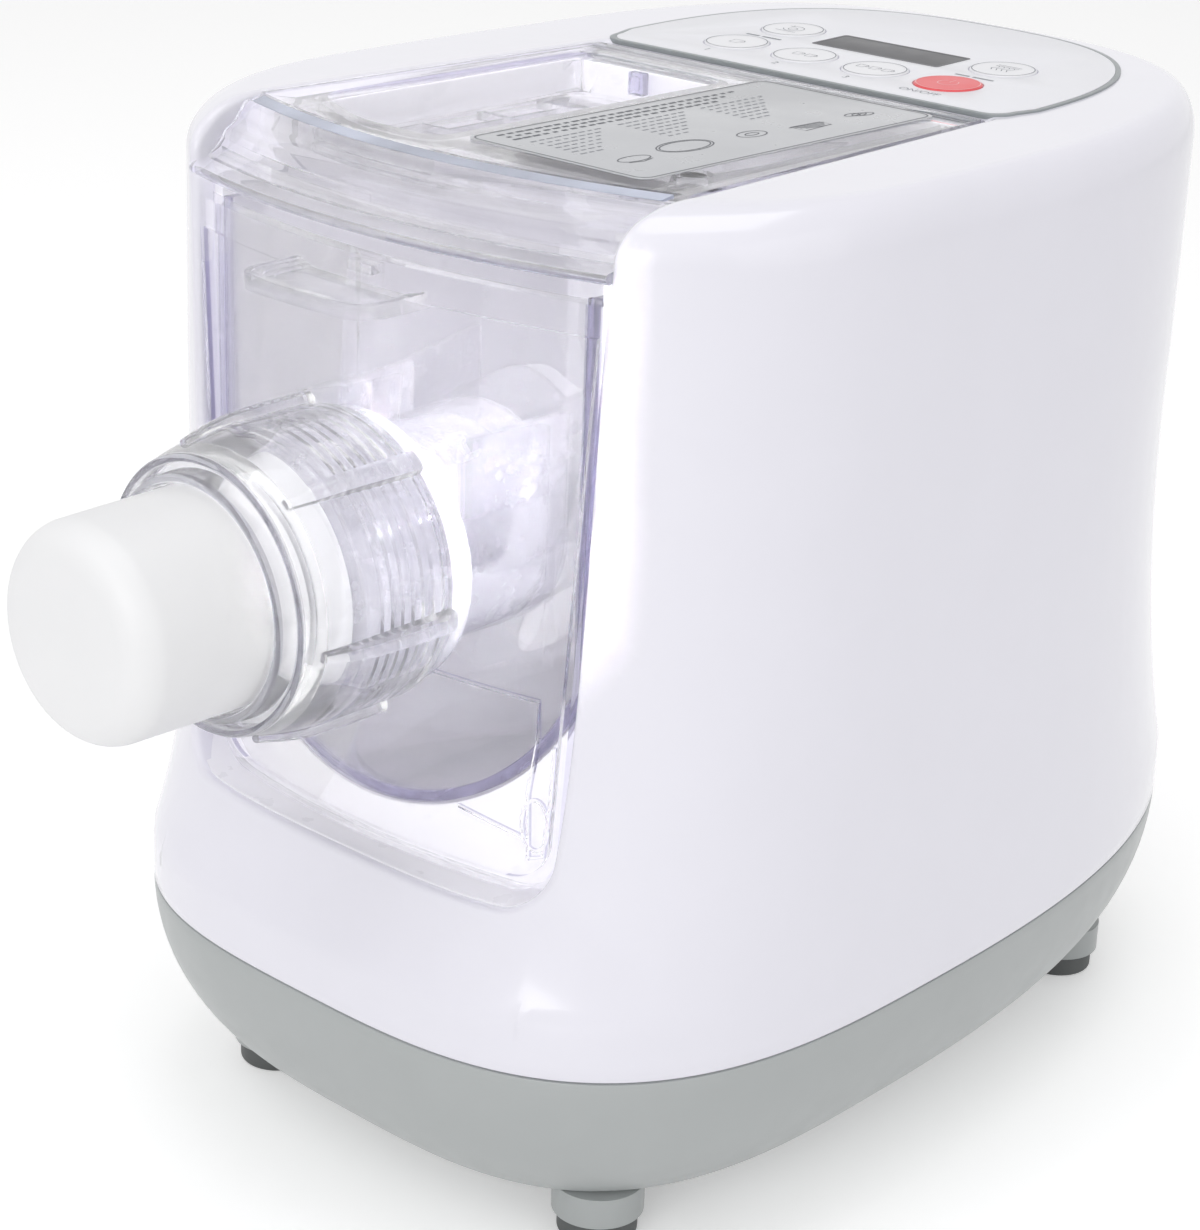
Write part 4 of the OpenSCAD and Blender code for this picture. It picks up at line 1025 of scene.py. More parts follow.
@dataclass(frozen=True)
class FrontSizes:
    """Bay, plate, lid and nozzle in millimetres, as the CAD has them."""

    bow_r: float = 225.0
    bow_y: float = 128.0
    chamber_hw: float = 61.0
    chamber_r: float = 66.0
    chamber_low: float = 106.0
    chamber_top: float = 238.6
    chamber_wall: float = 2.2
    chamber_rear: float = 37.0
    bay_gap: float = 0.8
    bay_rear: float = 38.8
    plate_t: float = 3.0
    plate_top_hw: float = 66.5
    plate_low_hw: float = 58.7
    plate_low: float = 96.0
    plate_gap: float = 0.7
    recess_flare: float = 2.4
    corner_r: float = 13.0
    recess_r: float = 221.5
    lid_t: float = 2.6
    lid_front_hw: float = 69.0
    lid_rear_hw: float = 62.6
    lip_hw: float = 67.3
    lid_rear: float = 52.0
    lid_gap: float = 0.7
    roll_start: float = 66.0
    roll_end: float = 84.0
    flat_r: float = 207.5
    lip_r: float = 228.5
    lip_z: float = 246.0
    hinge_y: float = 48.3
    hinge_z: float = 256.3
    hinge_r: float = 3.7
    axis_z: float = 168.7
    opening_bend: float = 170.0

    def trough(self, gap: float) -> list[Point2]:
        """Round-bottomed outline [x, z] of the chamber.

        Args:
            gap: How far it is shrunk.

        Returns:
            The closed outline, open region up to far above the lid.
        """
        hw, r = self.chamber_hw - gap, self.chamber_r - gap
        centre = self.chamber_low + self.chamber_r
        reach = math.degrees(math.asin(hw / r))
        low = arc((0.0, centre), r, -90 - reach, -90 + reach, 72)
        return low + [(hw, FAR), (-hw, FAR)]

    def opening_hw(self, z: float) -> float:
        """Half width of the front opening at a height."""
        slope = ((self.plate_top_hw - self.plate_low_hw - self.recess_flare)
                 / (self.chamber_top - self.plate_low + 2 * self.plate_gap))
        low_hw = self.plate_low_hw + self.plate_gap + self.recess_flare
        return min(low_hw + (z - self.plate_low + self.plate_gap) * slope,
                   self.plate_top_hw + self.plate_gap)

    def opening_low(self, grow: float) -> list[Point2]:
        """Lower edge [x, z] of the front opening, grown by a distance, from left to right."""
        corner_z = self.plate_low - self.plate_gap + self.corner_r
        return trough_line(self.opening_hw(corner_z) - self.corner_r, corner_z, self.corner_r + grow, 16)

    def opening(self, grow: float, top: float) -> list[Point2]:
        """Closed outline [x, z] of the front opening up to a height, grown by a distance."""
        side = [(self.opening_hw(z) + grow, z)
                for z in (self.opening_bend, self.chamber_top + self.plate_gap, top)]
        return self.opening_low(grow) + side + [(-x, z) for x, z in reversed(side)]

    def plate(self, shrink: float) -> list[Point2]:
        """Closed outline [x, z] of the front plate.

        Args:
            shrink: How far it is shrunk.

        Returns:
            The outline.
        """
        hw, low, r = self.plate_low_hw - shrink, self.plate_low + shrink, self.corner_r - shrink * 0.5
        side = (self.plate_top_hw - shrink, self.chamber_top - shrink)
        return trough_line(hw - r, low + r, r, 16) + [side, (-side[0], side[1])]

    def lid_hw(self, y: float) -> float:
        """Half width of the lid at y."""
        if y < -self.roll_start:
            share = clamp01((-self.roll_start - y) / (self.roll_end - self.roll_start))
            return lerp(self.lid_front_hw, self.lip_hw, share)
        share = (y + self.roll_start) / (self.lid_rear + self.roll_start)
        return lerp(self.lid_front_hw, self.lid_rear_hw, share)

    def rear_corner(self, x: float, grow: float, radius: float, steps: int = 8) -> list[Point2]:
        """Round right rear corner [x, y] of the lid.

        Args:
            x: Half width of the lid at y = 0.
            grow: How far the lid is grown.
            radius: Length over which the corner is rounded.
            steps: Segments of the corner.

        Returns:
            The open line.
        """
        rear = self.lid_rear + grow
        line = rounded([(x, 0.0), (self.lid_rear_hw + grow, rear), (0.0, rear)], radius, steps)
        return line[steps + 1:2 * (steps + 1)]

    def lid_plan(self, grow: float) -> list[Point2]:
        """Closed outline [x, y] of the lid, grown by a distance."""
        right = [(self.lip_hw + grow, -self.bow_r), (self.lip_hw + grow, -self.roll_end),
                 (self.lid_front_hw + grow, -self.roll_start)]
        right += self.rear_corner(self.lid_front_hw, grow, 2.5)
        return right + [(-x, y) for x, y in reversed(right)]

    def reach(self, place: Vector) -> float:
        """Distance of a place in millimetres from the upright axis of the bow."""
        return math.hypot(place.x, place.y - self.bow_y)

    def disc(self, name: str, radius: float, low: float = 0.0, high: float = FAR) -> Piece:
        """Round disc between two heights about the centre of the bow."""
        return rod(name, radius, low, high, (0.0, self.bow_y), Axis.Z, 720)


BODY = BodyShape()
FRONT = FrontSizes()
BOW: Point2 = (0.0, FRONT.bow_y)  # centre [x, y] of the bowed front
AXLE: Point2 = (0.0, FRONT.axis_z)  # centre [x, z] of the auger and the nozzle


# ---------- housing ----------


@dataclass
class Shell:
    """White body: glossy skin with a rounded lip round its opening, and the bay behind it."""

    columns: int = 300
    low_rows: int = 14
    wall_rows: int = 34
    edge_rows: int = 14
    deck_rows: int = 10
    front_columns: int = 96
    lip: float = 1.9
    lip_steps: int = 7
    seam_gap: float = 0.6
    blend_low: float = 240.0
    blend_high: float = 245.0
    loop: list[Point3] = field(default_factory=list)

    def half_opening(self, z: float, level: Point3) -> float:
        """Half width at which a ring of the skin stops.

        Args:
            z: Height of the ring.
            level: Its half width and reaches.

        Returns:
            The half width, which passes from the plate's to the lid's on the way up.
        """
        width = FRONT.opening_hw(z)
        blend = clamp01((z - self.blend_low) / (self.blend_high - self.blend_low))
        for _ in range(4):
            y = BODY.front_y(width, level)
            width = lerp(FRONT.opening_hw(z), FRONT.lid_hw(y) + FRONT.lid_gap, blend)
        return width + self.lip

    def ring(self, z: float, level: Point3) -> np.ndarray:
        """Ring of the skin from the right edge of the opening round the rear to the left edge.

        Args:
            z: Height of the ring.
            level: Its half width and reaches.

        Returns:
            The evenly spaced points.
        """
        share = self.half_opening(z, level) / level[0]
        start = 360 - math.degrees(math.acos(share ** (BODY.front_power / 2)))
        turns = np.linspace(start, 900 - start, 2600)
        return resample([BODY.point(t % 360, z, level) for t in turns], self.columns)

    def seam_rows(self) -> list[Level]:
        """Rings that turn inwards at the seam, from the inside out."""
        return [(BODY.seam + up, BODY.level(BODY.seam, inset))
                for up, inset in ((1.6, 3.0), (0.15, 2.2), (0.15, 0.5), (0.3, 0.15))]

    def climb(self, high: float) -> list[Level]:
        """Rings from just above the seam to a height below the side edges of the opening."""
        low = BODY.seam + self.seam_gap
        return [(z, BODY.level(z)) for z in (lerp(low, high, k / self.low_rows)
                                             for k in range(self.low_rows + 1))]

    def skin(self) -> Piece:
        """Builds the skin and remembers the edge of its opening."""
        corner_z = FRONT.plate_low - FRONT.plate_gap + FRONT.corner_r
        rows = self.seam_rows() + self.climb(corner_z)
        first = len(rows) - 1
        wall_top = BODY.top - BODY.edge_down
        rows += [(z, BODY.level(z)) for z in np.linspace(corner_z, wall_top, self.wall_rows + 1)[1:]]
        rows += [BODY.edge_level(90 * k / self.edge_rows) for k in range(1, self.edge_rows + 1)]
        rings = [self.ring(z, lev) for z, lev in rows]
        rings += self.deck(rings[-1])
        points = [tuple(p) for ring in rings for p in ring]
        faces = grid_faces(len(rings), self.columns + 1)
        patch = self.patch()
        faces += grid_faces(len(patch), len(patch[0]), start=len(points))
        points += [p for line in patch for p in line]
        right = [tuple(ring[0]) for ring in rings[first:-1]]
        left = [tuple(ring[-1]) for ring in reversed(rings[first + 1:-1])]
        self.loop = [line[-1] for line in patch][:-1] + right + [tuple(p) for p in rings[-1]] + left
        return mesh_object("body_skin", points, faces)

    def deck(self, outer: np.ndarray) -> list[np.ndarray]:
        """Rows of the deck.

        Args:
            outer: Ring at its rounded edge.

        Returns:
            Rings from there to the edge of the lid.
        """
        grow = FRONT.lid_gap + self.lip
        x, y = outer[0][0], outer[0][1]
        side = [(x, y)] + [(FRONT.lid_hw(v) + grow, v) for v in np.linspace(max(y + 1, -64.0), 40.0, 30)]
        half = side + FRONT.rear_corner(FRONT.lid_hw(0.0) + grow, grow, 4.0)
        inner = resample(half + [(-a, b) for a, b in reversed(half)], self.columns)
        made = []
        for k in range(1, self.deck_rows + 1):
            flat = outer[:, :2] * (1 - k / self.deck_rows) + inner * (k / self.deck_rows)
            made.append(np.array([(a, b, BODY.top + BODY.lift(b, BODY.top)) for a, b in flat]))
        return made

    def patch(self) -> list[list[Point3]]:
        """Front of the skin below the opening.

        Returns:
            Lines that climb from the seam to the edge of the opening.
        """
        made = []
        for x, z_end in resample(FRONT.opening_low(self.lip), self.front_columns):
            share = x / (FRONT.opening_hw(z_end) + self.lip)
            rows = self.seam_rows() + self.climb(z_end)
            places = [(share * (FRONT.opening_hw(z) + self.lip), z, level) for z, level in rows]
            made.append([(at, BODY.front_y(at, level), z) for at, z, level in places])
        return made

    def lip_rows(self, skin: Piece) -> Piece:
        """Rounded edge that turns from the skin into the opening.

        Args:
            skin: The skin, whose normals it starts from.

        Returns:
            The open mesh of the edge.
        """
        middle = Vector((0.0, -60.0, 200.0))
        tree = KDTree(len(skin.data.vertices))
        for vertex in skin.data.vertices:
            tree.insert(vertex.co, vertex.index)
        tree.balance()
        n = len(self.loop)
        columns = []
        for i, place in enumerate(self.loop):
            p = Vector(place)
            normal = skin.data.vertices[tree.find(p * MM)[1]].normal.copy()
            along = Vector(self.loop[(i + 1) % n]) - Vector(self.loop[i - 1])
            inward = along.cross(normal).normalized()
            if inward.dot(middle - p) < 0:
                inward.negate()
            u = math.radians(90 * clamp01((p.z - 243.0) / 15.0))
            wall = Vector((0.0, math.cos(u), -math.sin(u)))
            end = math.atan2(-normal.dot(wall), inward.dot(wall))
            line = [p]
            for k in range(1, self.lip_steps + 1):
                a = end * k / self.lip_steps
                line.append(p + inward * (self.lip + 0.15) * math.sin(a)
                            - normal * self.lip * (1 - math.cos(a)))
            line.append(line[-1] + wall * 2.2)
            line.append(line[-1] + wall * 2.0 - inward * 0.6)
            columns.append(line)
        depth = len(columns[0])
        faces = [(i * depth + k, i * depth + k + 1, ((i + 1) % n) * depth + k + 1, ((i + 1) % n) * depth + k)
                 for i in range(n) for k in range(depth - 1)]
        return mesh_object("body_lip", [tuple(p) for line in columns for p in line], faces)

    def liner(self) -> Piece:
        """Builds the walls of the bay and the bed of the lid, behind the skin."""
        inset = 2.4
        heights = (80.0, 90.0, 100.0, 110.0, 120.0, 140.0, 160.0, 180.0, 200.0, 225.0)
        levels = [(z, BODY.level(z, inset)) for z in heights]
        levels += [BODY.edge_level(15 * k, inset) for k in range(7)]
        liner = BODY.loft("body_liner", levels)
        combine(liner, Join.KEEP, block("near", (-78.0, -130.0, 88.0), (78.0, 60.0, 300.0)))
        trough = prism("trough", FRONT.trough(-FRONT.bay_gap), -FRONT.bow_r, FRONT.bay_rear, Axis.Y)
        recess = prism("recess", FRONT.opening(0.0, FRONT.lip_z), -FRONT.bow_r, 0.0, Axis.Y)
        combine(recess, Join.REMOVE, FRONT.disc("ledge", FRONT.recess_r))
        bed = prism("bed", FRONT.lid_plan(FRONT.lid_gap), BODY.top - FRONT.lid_t - 0.6, 300.0)
        roll = prism("roll", FRONT.lid_plan(FRONT.lid_gap), FRONT.lip_z - 3.4, 300.0)
        combine(roll, Join.REMOVE, FRONT.disc("keep", FRONT.flat_r - 3.0))
        slot_hw = FRONT.lid_rear_hw + FRONT.lid_gap
        hinge = rod("hinge", FRONT.hinge_r + 0.5, -slot_hw, slot_hw, (FRONT.hinge_y, FRONT.hinge_z), Axis.X)
        seat = rod("seat", 9.5, FRONT.bay_rear - 5, FRONT.bay_rear + 8, AXLE)
        combine(liner, Join.REMOVE, trough, recess, bed, roll, hinge, seat)
        return soften(liner, 0.6, 3)

    def build(self) -> None:
        """Builds the white body."""
        skin = self.skin()
        outer = merge("body_shell_skin", [skin, self.lip_rows(skin)])
        with editing(outer.data) as work:
            bmesh.ops.remove_doubles(work, verts=work.verts, dist=WELD * MM)
            bmesh.ops.recalc_face_normals(work, faces=work.faces)
        shade(outer, 60.0)
        show(dress(outer, Finishes.SHELL), "housing", ["body_shell"])
        # The liner's brighter white is painted light for the shaded bay.
        show(dress(self.liner(), Finishes.BAY_PAINTED_BRIGHT), "housing")


@dataclass
class Base:
    """Grey bowl-shaped base with its feet, screws and cord gland."""

    steps: int = 26
    screws: tuple[Point2, ...] = ((70.0, -48.0), (-70.0, -48.0), (70.0, 96.0), (-70.0, 96.0))
    feet: tuple[tuple[str, float, float], ...] = (
        ("foot_front_left", -58.7, -71.7), ("foot_front_right", 58.7, -71.7),
        ("foot_rear_left", -58.7, 127.0), ("foot_rear_right", 58.7, 127.0))
    foot_r: float = 10.0
    seat: float = 6.4
    well_r: float = 4.6
    well_top: float = 29.0
    slot_hw: float = 1.5
    slot_reach: float = 23.0
    slot_pitch: float = 9.0
    slot_y: float = 83.0
    gland_r: float = 5.0
    gland_z: float = 34.0

    def levels(self) -> list[Level]:
        """Rings of the bowl from its bottom to the seam, where it turns inwards."""
        low, seam = BODY.base_low, BODY.seam
        turns = [math.radians(90 * i / self.steps) for i in range(self.steps + 1)]
        rows = [(low + (seam - low) * (1 - math.cos(a)), BODY.base_inset * (1 - math.sin(a))) for a in turns]
        rows = [row for row in rows if row[0] < seam - 0.7]
        rows += [(seam - 0.6, 0.0), (seam - 0.3, 0.15), (seam - 0.15, 0.5), (seam - 0.15, 3.0)]
        return [(z, (BODY.half_width - r, BODY.front_reach - r, BODY.rear_reach - r)) for z, r in rows]

    def bowl(self, repeat: Repeater) -> Piece:
        """Builds the base with its slots and screw wells.

        Args:
            repeat: Geometry Nodes group for the slots.

        Returns:
            The base.
        """
        bowl = BODY.loft("base_bowl", self.levels(), 360)
        for _, x, y in self.feet:
            ring = arc((x, y), self.foot_r + 1.5, 0, 355, 71)
            combine(bowl, Join.ADD, prism("seat", ring, self.seat, self.seat + 8.0))
        wells = [rod("well", self.well_r, 0.0, self.well_top, p, Axis.Z, 64) for p in self.screws]
        outline = rounded(rectangle(-self.slot_hw, -self.slot_reach, self.slot_hw, self.slot_reach), 1.4)
        places = [(i * self.slot_pitch, self.slot_y, 8.0) for i in range(-4, 5)]
        slots = repeat.spread("slots", prism("slot", outline, -4.0, 4.0), places, Finishes.BASE)
        gland = rod("gland", self.gland_r, 147.0, 203.0, (0.0, self.gland_z), Axis.Y, 96)
        combine(bowl, Join.REMOVE, *wells, slots, gland)
        return soften(bowl, 0.5, 3, 40.0)

    def build(self, repeat: Repeater) -> None:
        """Builds everything below the seam.

        Args:
            repeat: Geometry Nodes group for the slots.
        """
        show(dress(self.bowl(repeat), Finishes.BASE), "housing", ["base_shell"])
        r, top = self.foot_r, self.seat
        profile = [(0.0, 0.6), (r - 4.4, 0.6), (r - 4.0, 0.1), *arc((r - 1.2, 1.2), 1.2, -90, 0, 6),
                   *arc((r - 0.5, top - 0.5), 0.5, 0, 90, 4), (3.5, top), (3.5, top + 7.0), (0.0, top + 7.0)]
        for name, x, y in self.feet:
            foot = shade(turned(f"{name}_look", profile, (x, y), Axis.Z, 96))
            show(dress(foot, Finishes.FOOT), "housing", [name])
        show_copy("base_screws", "steel", Finishes.STEEL, 0.3)
        show_copy("cord_gland", "black_plastic", Finishes.BLACK, 0.5, 3)


# ---------- controls ----------


class Icons:
    """Plain pictures printed on the keys, as strokes about the middle of a key."""

    @staticmethod
    def cups(count: int) -> list[Stroke]:
        """Measuring cups with handles side by side.

        Args:
            count: One, two or three.

        Returns:
            Their strokes.
        """
        body = [(-1.0, 1.0), (-0.7, -1.0), (0.7, -1.0), (1.0, 1.0)]
        handle = arc((0.95, 0.2), 0.5, 80, -80, 8)
        size = 1.7 if count == 1 else 1.35
        middles = [(i - (count - 1) / 2) * 4.1 - 0.2 for i in range(count)]
        return [([(x + a * size, b * size) for a, b in line], closed)
                for x in middles for line, closed in ((body, True), (handle, False))]

    @staticmethod
    def mix() -> list[Stroke]:
        """A turning arrow over a bowl."""
        return [(arc((0.0, 0.2), 2.9, 200, 500, 26), False), ([(-3.0, 2.6), (-1.9, 2.2), (-2.2, 3.6)], False),
                (arc((0.0, -0.2), 1.3, 0, 340, 16), True), ([(-3.4, -3.6), (3.4, -3.6)], False)]

    @staticmethod
    def strands() -> list[Stroke]:
        """Strands that leave a die."""
        wave = [[(x + 0.45 * math.sin(t * 1.6), 1.6 - t * 0.9) for t in np.linspace(0, 5, 14)]
                for x in (-2.4, -0.8, 0.8, 2.4)]
        return [(rectangle(-3.6, 2.0, 3.6, 3.2), True)] + [(w, False) for w in wave]

    @staticmethod
    def power() -> list[Stroke]:
        """An open ring with a bar."""
        return [(arc((0.0, 0.0), 2.7, 125, 415, 30), False), ([(0.0, 0.6), (0.0, 3.4)], False)]


@dataclass
class Controls:
    """Round-cornered panel with a display, six keys and their pictures."""

    sink: float = 0.8
    panel_top: float = 0.6
    border: float = 1.3
    front: float = 53.9
    hw: float = 66.5
    mid: float = 66.0
    apex: float = 142.0
    key_r: float = 8.75
    cap_top: float = 0.95
    pitch: float = 23.3
    rows: Point2 = (73.0, 97.0)
    caption_down: float = 13.3
    dash_y: float = 84.3
    display: Point3 = (41.0, 14.5, 94.8)

    def spots(self) -> list[Point2]:
        """Middles of the keys: four in the front row, then the outer two of the rear row."""
        xs = [(k - 1.5) * self.pitch for k in range(4)]
        return [(x, self.rows[0]) for x in xs] + [(xs[0], self.rows[1]), (xs[3], self.rows[1])]

    def outline(self, grow: float) -> list[Point2]:
        """Outline of the panel on the deck.

        Args:
            grow: How far it is grown.

        Returns:
            The closed outline.
        """
        steps, p = 120, 2.6
        depth = self.apex - self.mid + grow
        turns = [math.pi * i / steps for i in range(steps + 1)]
        rear = [((self.hw + grow) * signed_pow(math.cos(t), 2 / p),
                 self.mid + depth * max(0.0, math.sin(t)) ** (2 / p)) for t in turns]
        hw, front = self.hw - 2 + grow, self.front - grow
        return trough_line(hw - 6, front + 6, 6, 10) + rear

    def place(self, piece: Piece) -> Piece:
        """Moves a piece from deck coordinates to the machine."""
        return transform(piece, BODY.deck_matrix())

    def screen(self, grow: float, low: float, high: float, soft: float = 1.2) -> Piece:
        """Slab with the outline of the display.

        Args:
            grow: How far it is grown.
            low: Its lower face.
            high: Its upper face.
            soft: Length over which its corners are rounded.

        Returns:
            The closed solid.
        """
        w, d, y = self.display[0] / 2 + grow, self.display[1] / 2 + grow, self.display[2]
        return prism("screen", rounded(rectangle(-w, y - d, w, y + d), soft), low, high)

    def key(self, name: str, body: str, at: Point2, strokes: Sequence[Stroke]) -> None:
        """Builds one key with its ring, picture and stem.

        Args:
            name: CAD node that it stands for.
            body: CAD body that it moves with.
            at: Its middle on the deck.
            strokes: Its picture about the middle.
        """
        red = name == "button_power"
        r, top = self.key_r, self.cap_top
        profile = [(0.0, top + 0.05), (r * 0.6, top + 0.03), (r - 0.7, top)]
        profile += arc((r - 0.5, top - 0.5), 0.5, 80, 0, 5)
        profile += [(r, -1.6), (2.5, -1.6), (2.5, -6.2), (0.0, -6.2)]
        cap = shade(dress(turned(f"{name}_cap", profile, at, Axis.Z, 96),
                          Finishes.RED if red else Finishes.BUTTON))
        ring = [(arc(at, r - 0.55, 0, 360, 72)[:-1], True)]
        lines = ring + [([(at[0] + a, at[1] + b) for a, b in line], closed) for line, closed in strokes]
        ink = dress(print_strokes(f"{name}_ink", lines, 0.26, top + 0.07),
                    Finishes.INK_PALE if red else Finishes.INK)
        key = self.place(merge(f"{name}_look", [cap, ink]))
        show(key, body, [name])

    def words(self, at: Point2, text: str, size: float) -> Piece:
        """Plain lettering on the panel.

        Args:
            at: Middle of its foot on the deck.
            text: What it says.
            size: Its size.

        Returns:
            The flat piece.
        """
        curve = bpy.data.curves.new("words", "FONT")
        curve.body = text
        curve.size = size
        curve.align_x = "CENTER"
        temp = linked("words", curve)
        graph = bpy.context.evaluated_depsgraph_get()
        mesh = bpy.data.meshes.new_from_object(temp.evaluated_get(graph), depsgraph=graph)
        bpy.data.objects.remove(temp)
        height = (self.panel_top + 0.03) * MM
        move = Matrix.Translation((at[0] * MM, at[1] * MM, height)) @ Matrix.Scale(MM, 4)
        return dress(transform(linked("words", mesh), move), Finishes.INK)

    def panel(self) -> None:
        """Builds the panel and its border."""
        panel = prism("panel", self.outline(-0.05), -self.sink, self.panel_top)
        holes = [rod("hole", self.key_r + 0.35, -4.0, 4.0, p, Axis.Z, 96) for p in self.spots()]
        combine(panel, Join.REMOVE, *holes, self.screen(0.12, -4.0, 4.0))
        panel.name = "control_panel_look"
        self.place(soften(panel, 0.2, 2))
        show(dress(panel, Finishes.PANEL), "housing", ["control_panel"])
        edge = prism("panel_border_look", self.outline(self.border), -self.sink, self.panel_top - 0.08)
        combine(edge, Join.REMOVE, prism("inside", self.outline(0.0), -4.0, 4.0))
        self.place(soften(edge, 0.12, 2))
        show(dress(edge, Finishes.BORDER), "housing", ["panel_border"])

    def window(self) -> None:
        """Builds the display with its rim."""
        glass = soften(self.screen(0.0, -1.0, self.panel_top + 0.02), 0.2, 2)
        rim = combine(self.screen(0.5, self.panel_top - 0.4, self.panel_top + 0.06),
                      Join.REMOVE, self.screen(-0.5, -4.0, 4.0, 0.6))
        both = merge("display_window_look", [dress(glass, Finishes.SCREEN),
                                             dress(shade(rim), Finishes.SCREEN_EDGE)])
        show(self.place(both), "housing", ["display_window"])

    def captions(self) -> None:
        """Prints the captions and the dashes behind two of the keys."""
        spots = self.spots()
        print_ = [self.words((x, y - self.caption_down), text, 3.4)
                  for (x, y), text in zip(spots, ("1", "2", "3", "ON/OFF"))]
        for x, _ in spots[4:]:
            dashes = [([(x + a, self.dash_y), (x + b, self.dash_y)], False)
                      for a, b in ((-6, -1.5), (-0.5, 6))]
            print_.append(dress(print_strokes("dashes", dashes, 1.1, self.panel_top + 0.03), Finishes.INK))
        show(self.place(merge("panel_print", print_)), "housing")

    def build(self) -> None:
        """Builds the panel and everything on and under it."""
        self.panel()
        self.window()
        keys = (("button_one_cup", "key_one", Icons.cups(1)), ("button_two_cups", "key_two", Icons.cups(2)),
                ("button_three_cups", "key_three", Icons.cups(3)),
                ("button_power", "key_power", Icons.power()),
                ("button_mix", "key_mix", Icons.mix()), ("button_extrude", "key_extrude", Icons.strands()))
        for (name, body, strokes), at in zip(keys, self.spots()):
            self.key(name, body, at, strokes)
        self.captions()
        show_copy("display_module", "black_plastic", Finishes.BLACK, 0.15)
        show_copy("control_board", "board_green", Finishes.BOARD, 0.15)
        show_copy("key_switches", "black_plastic", Finishes.BLACK, 0.15)


# ---------- lid ----------


@dataclass
class Lid:
    """Clear lid: flat top with a feed gutter, and a front that rolls down in steps to a lip."""

    top: float = 260.0
    gutter: tuple[Point2, ...] = ((-60.5, -58.0), (-32.0, -71.0), (-4.0, -71.0), (-4.0, 38.0), (-58.5, 38.0))
    gutter_low: float = 248.0
    gutter_t: float = 2.0
    gutter_soft: float = 9.0
    window: tuple[float, float, float, float] = (-53.0, -27.0, 9.5, 19.5)
    window_pitch: float = 22.0
    skirt_x: Point2 = (58.6, 60.8)
    skirt_y: Point2 = (-62.0, 37.6)
    pin_r: float = 1.56
    label: tuple[float, float, float, float] = (-1.5, -64.0, 54.0, 43.0)
    magnet: Point2 = (54.0, -48.0)
    magnet_r: float = 3.0
    boss_r: float = 4.6

    def roll_profile(self) -> list[Point2]:
        """Section [radius, height] of the front, from the flat top over the steps to the lip and back."""
        f, t = FRONT.flat_r, self.top
        outer = [(f - 9.0, t), (f - 1.8, t), (f - 1.2, t - 1.0), (f + 2.2, t - 1.5)]
        outer += arc((f - 1.0, t - 8.0), 8.0, 61, 22, 8)
        outer += [(f + 7.6, t - 6.2)] + arc((f + 8.0, t - 9.6), 3.0, 78, 12, 7)
        outer += [(f + 12.2, t - 10.0), (f + 13.0, t - 11.0), (f + 15.6, t - 12.0), (f + 16.2, t - 12.7)]
        outer += [(f + 18.6, t - 13.4)] + arc((f + 19.6, t - 14.9), 1.35, 80, -80, 8)
        inner = [(f + 17.4, t - 15.6), (f + 15.2, t - 14.6), (f + 12.0, t - 13.4), (f + 9.6, t - 12.6)]
        inner += arc((f + 4.6, t - 10.2), 4.0, -10, 40, 6) + arc((f - 1.6, t - 8.4), 5.8, 30, 90, 8)
        return outer + inner + [(f - 9.0, t - FRONT.lid_t)]

    @staticmethod
    def ahead(y: float) -> Piece:
        """Box that holds everything in front of y."""
        return block("ahead", (-90.0, -130.0, 0.0), (90.0, y, FAR))

    def clear_body(self) -> Piece:
        """Builds the clear moulding."""
        t, low = self.top, self.top - FRONT.lid_t
        lid = prism("lid_look", FRONT.lid_plan(0.0), low, t)
        combine(lid, Join.KEEP, FRONT.disc("flat", FRONT.flat_r - 8.0), self.ahead(FRONT.hinge_y))
        roll = turned("roll", self.roll_profile(), BOW, Axis.Z, 1080)
        front = combine(prism("front", FRONT.lid_plan(0.0), 200.0, 300.0), Join.KEEP, self.ahead(-55.0))
        combine(roll, Join.KEEP, front)
        basin = prism("basin", rounded(self.gutter, self.gutter_soft), self.gutter_low, t - 0.5)
        foot = self.gutter_low + 0.4
        corner = prism("corner", [(20.0, foot), (37.0, t - 0.6), (37.0, foot)], -59.0, -51.0, Axis.X,
                       [(31.0, foot), (37.0, t - 3.6), (37.0, foot)])
        hinge = rod("hinge", FRONT.hinge_r, -FRONT.lid_rear_hw, FRONT.lid_rear_hw,
                    (FRONT.hinge_y, FRONT.hinge_z), Axis.X, 96)
        boss = rod("boss", self.boss_r, low - 4.5, low + 0.5, self.magnet, Axis.Z, 64)
        skirts = twin_blocks("skirt", (self.skirt_x[0], self.skirt_y[0], low - 9.0),
                             (self.skirt_x[1], self.skirt_y[1], low + 1))
        combine(lid, Join.ADD, roll, basin, hinge, boss, *skirts)
        self.cut(lid)
        combine(lid, Join.ADD, corner)
        return soften(lid, 0.5, 3, 33.0)

    def cut(self, lid: Piece) -> None:
        """Cuts the gutter, its windows, the pin hole and the magnet pocket.

        Args:
            lid: The solid moulding.
        """
        low, t = self.gutter_low + self.gutter_t, self.top
        inner = rounded([(lerp(x, -33.0, 0.07), lerp(y, -12.0, 0.045)) for x, y in self.gutter], 7.5)
        floor = rounded([(lerp(x, -33.0, 0.1), lerp(y, -12.0, 0.07)) for x, y in self.gutter], 7.0)
        gutter = prism("gutter", floor, low, low + 2.0, Axis.Z, inner)
        combine(gutter, Join.ADD, prism("upper", inner, low + 1.9, t + 10.0))
        x, y, width, length = self.window
        windows = [block("window", (x, y + k * self.window_pitch, low - 4.0),
                         (x + width, y + k * self.window_pitch + length, low + 1.0)) for k in range(2)]
        pin = rod("pin", self.pin_r, -70.0, 70.0, (FRONT.hinge_y, FRONT.hinge_z), Axis.X, 48)
        pocket = rod("pocket", self.magnet_r, 250.0, 256.4, self.magnet, Axis.Z, 48)
        combine(lid, Join.REMOVE, gutter, *windows, pin, pocket)

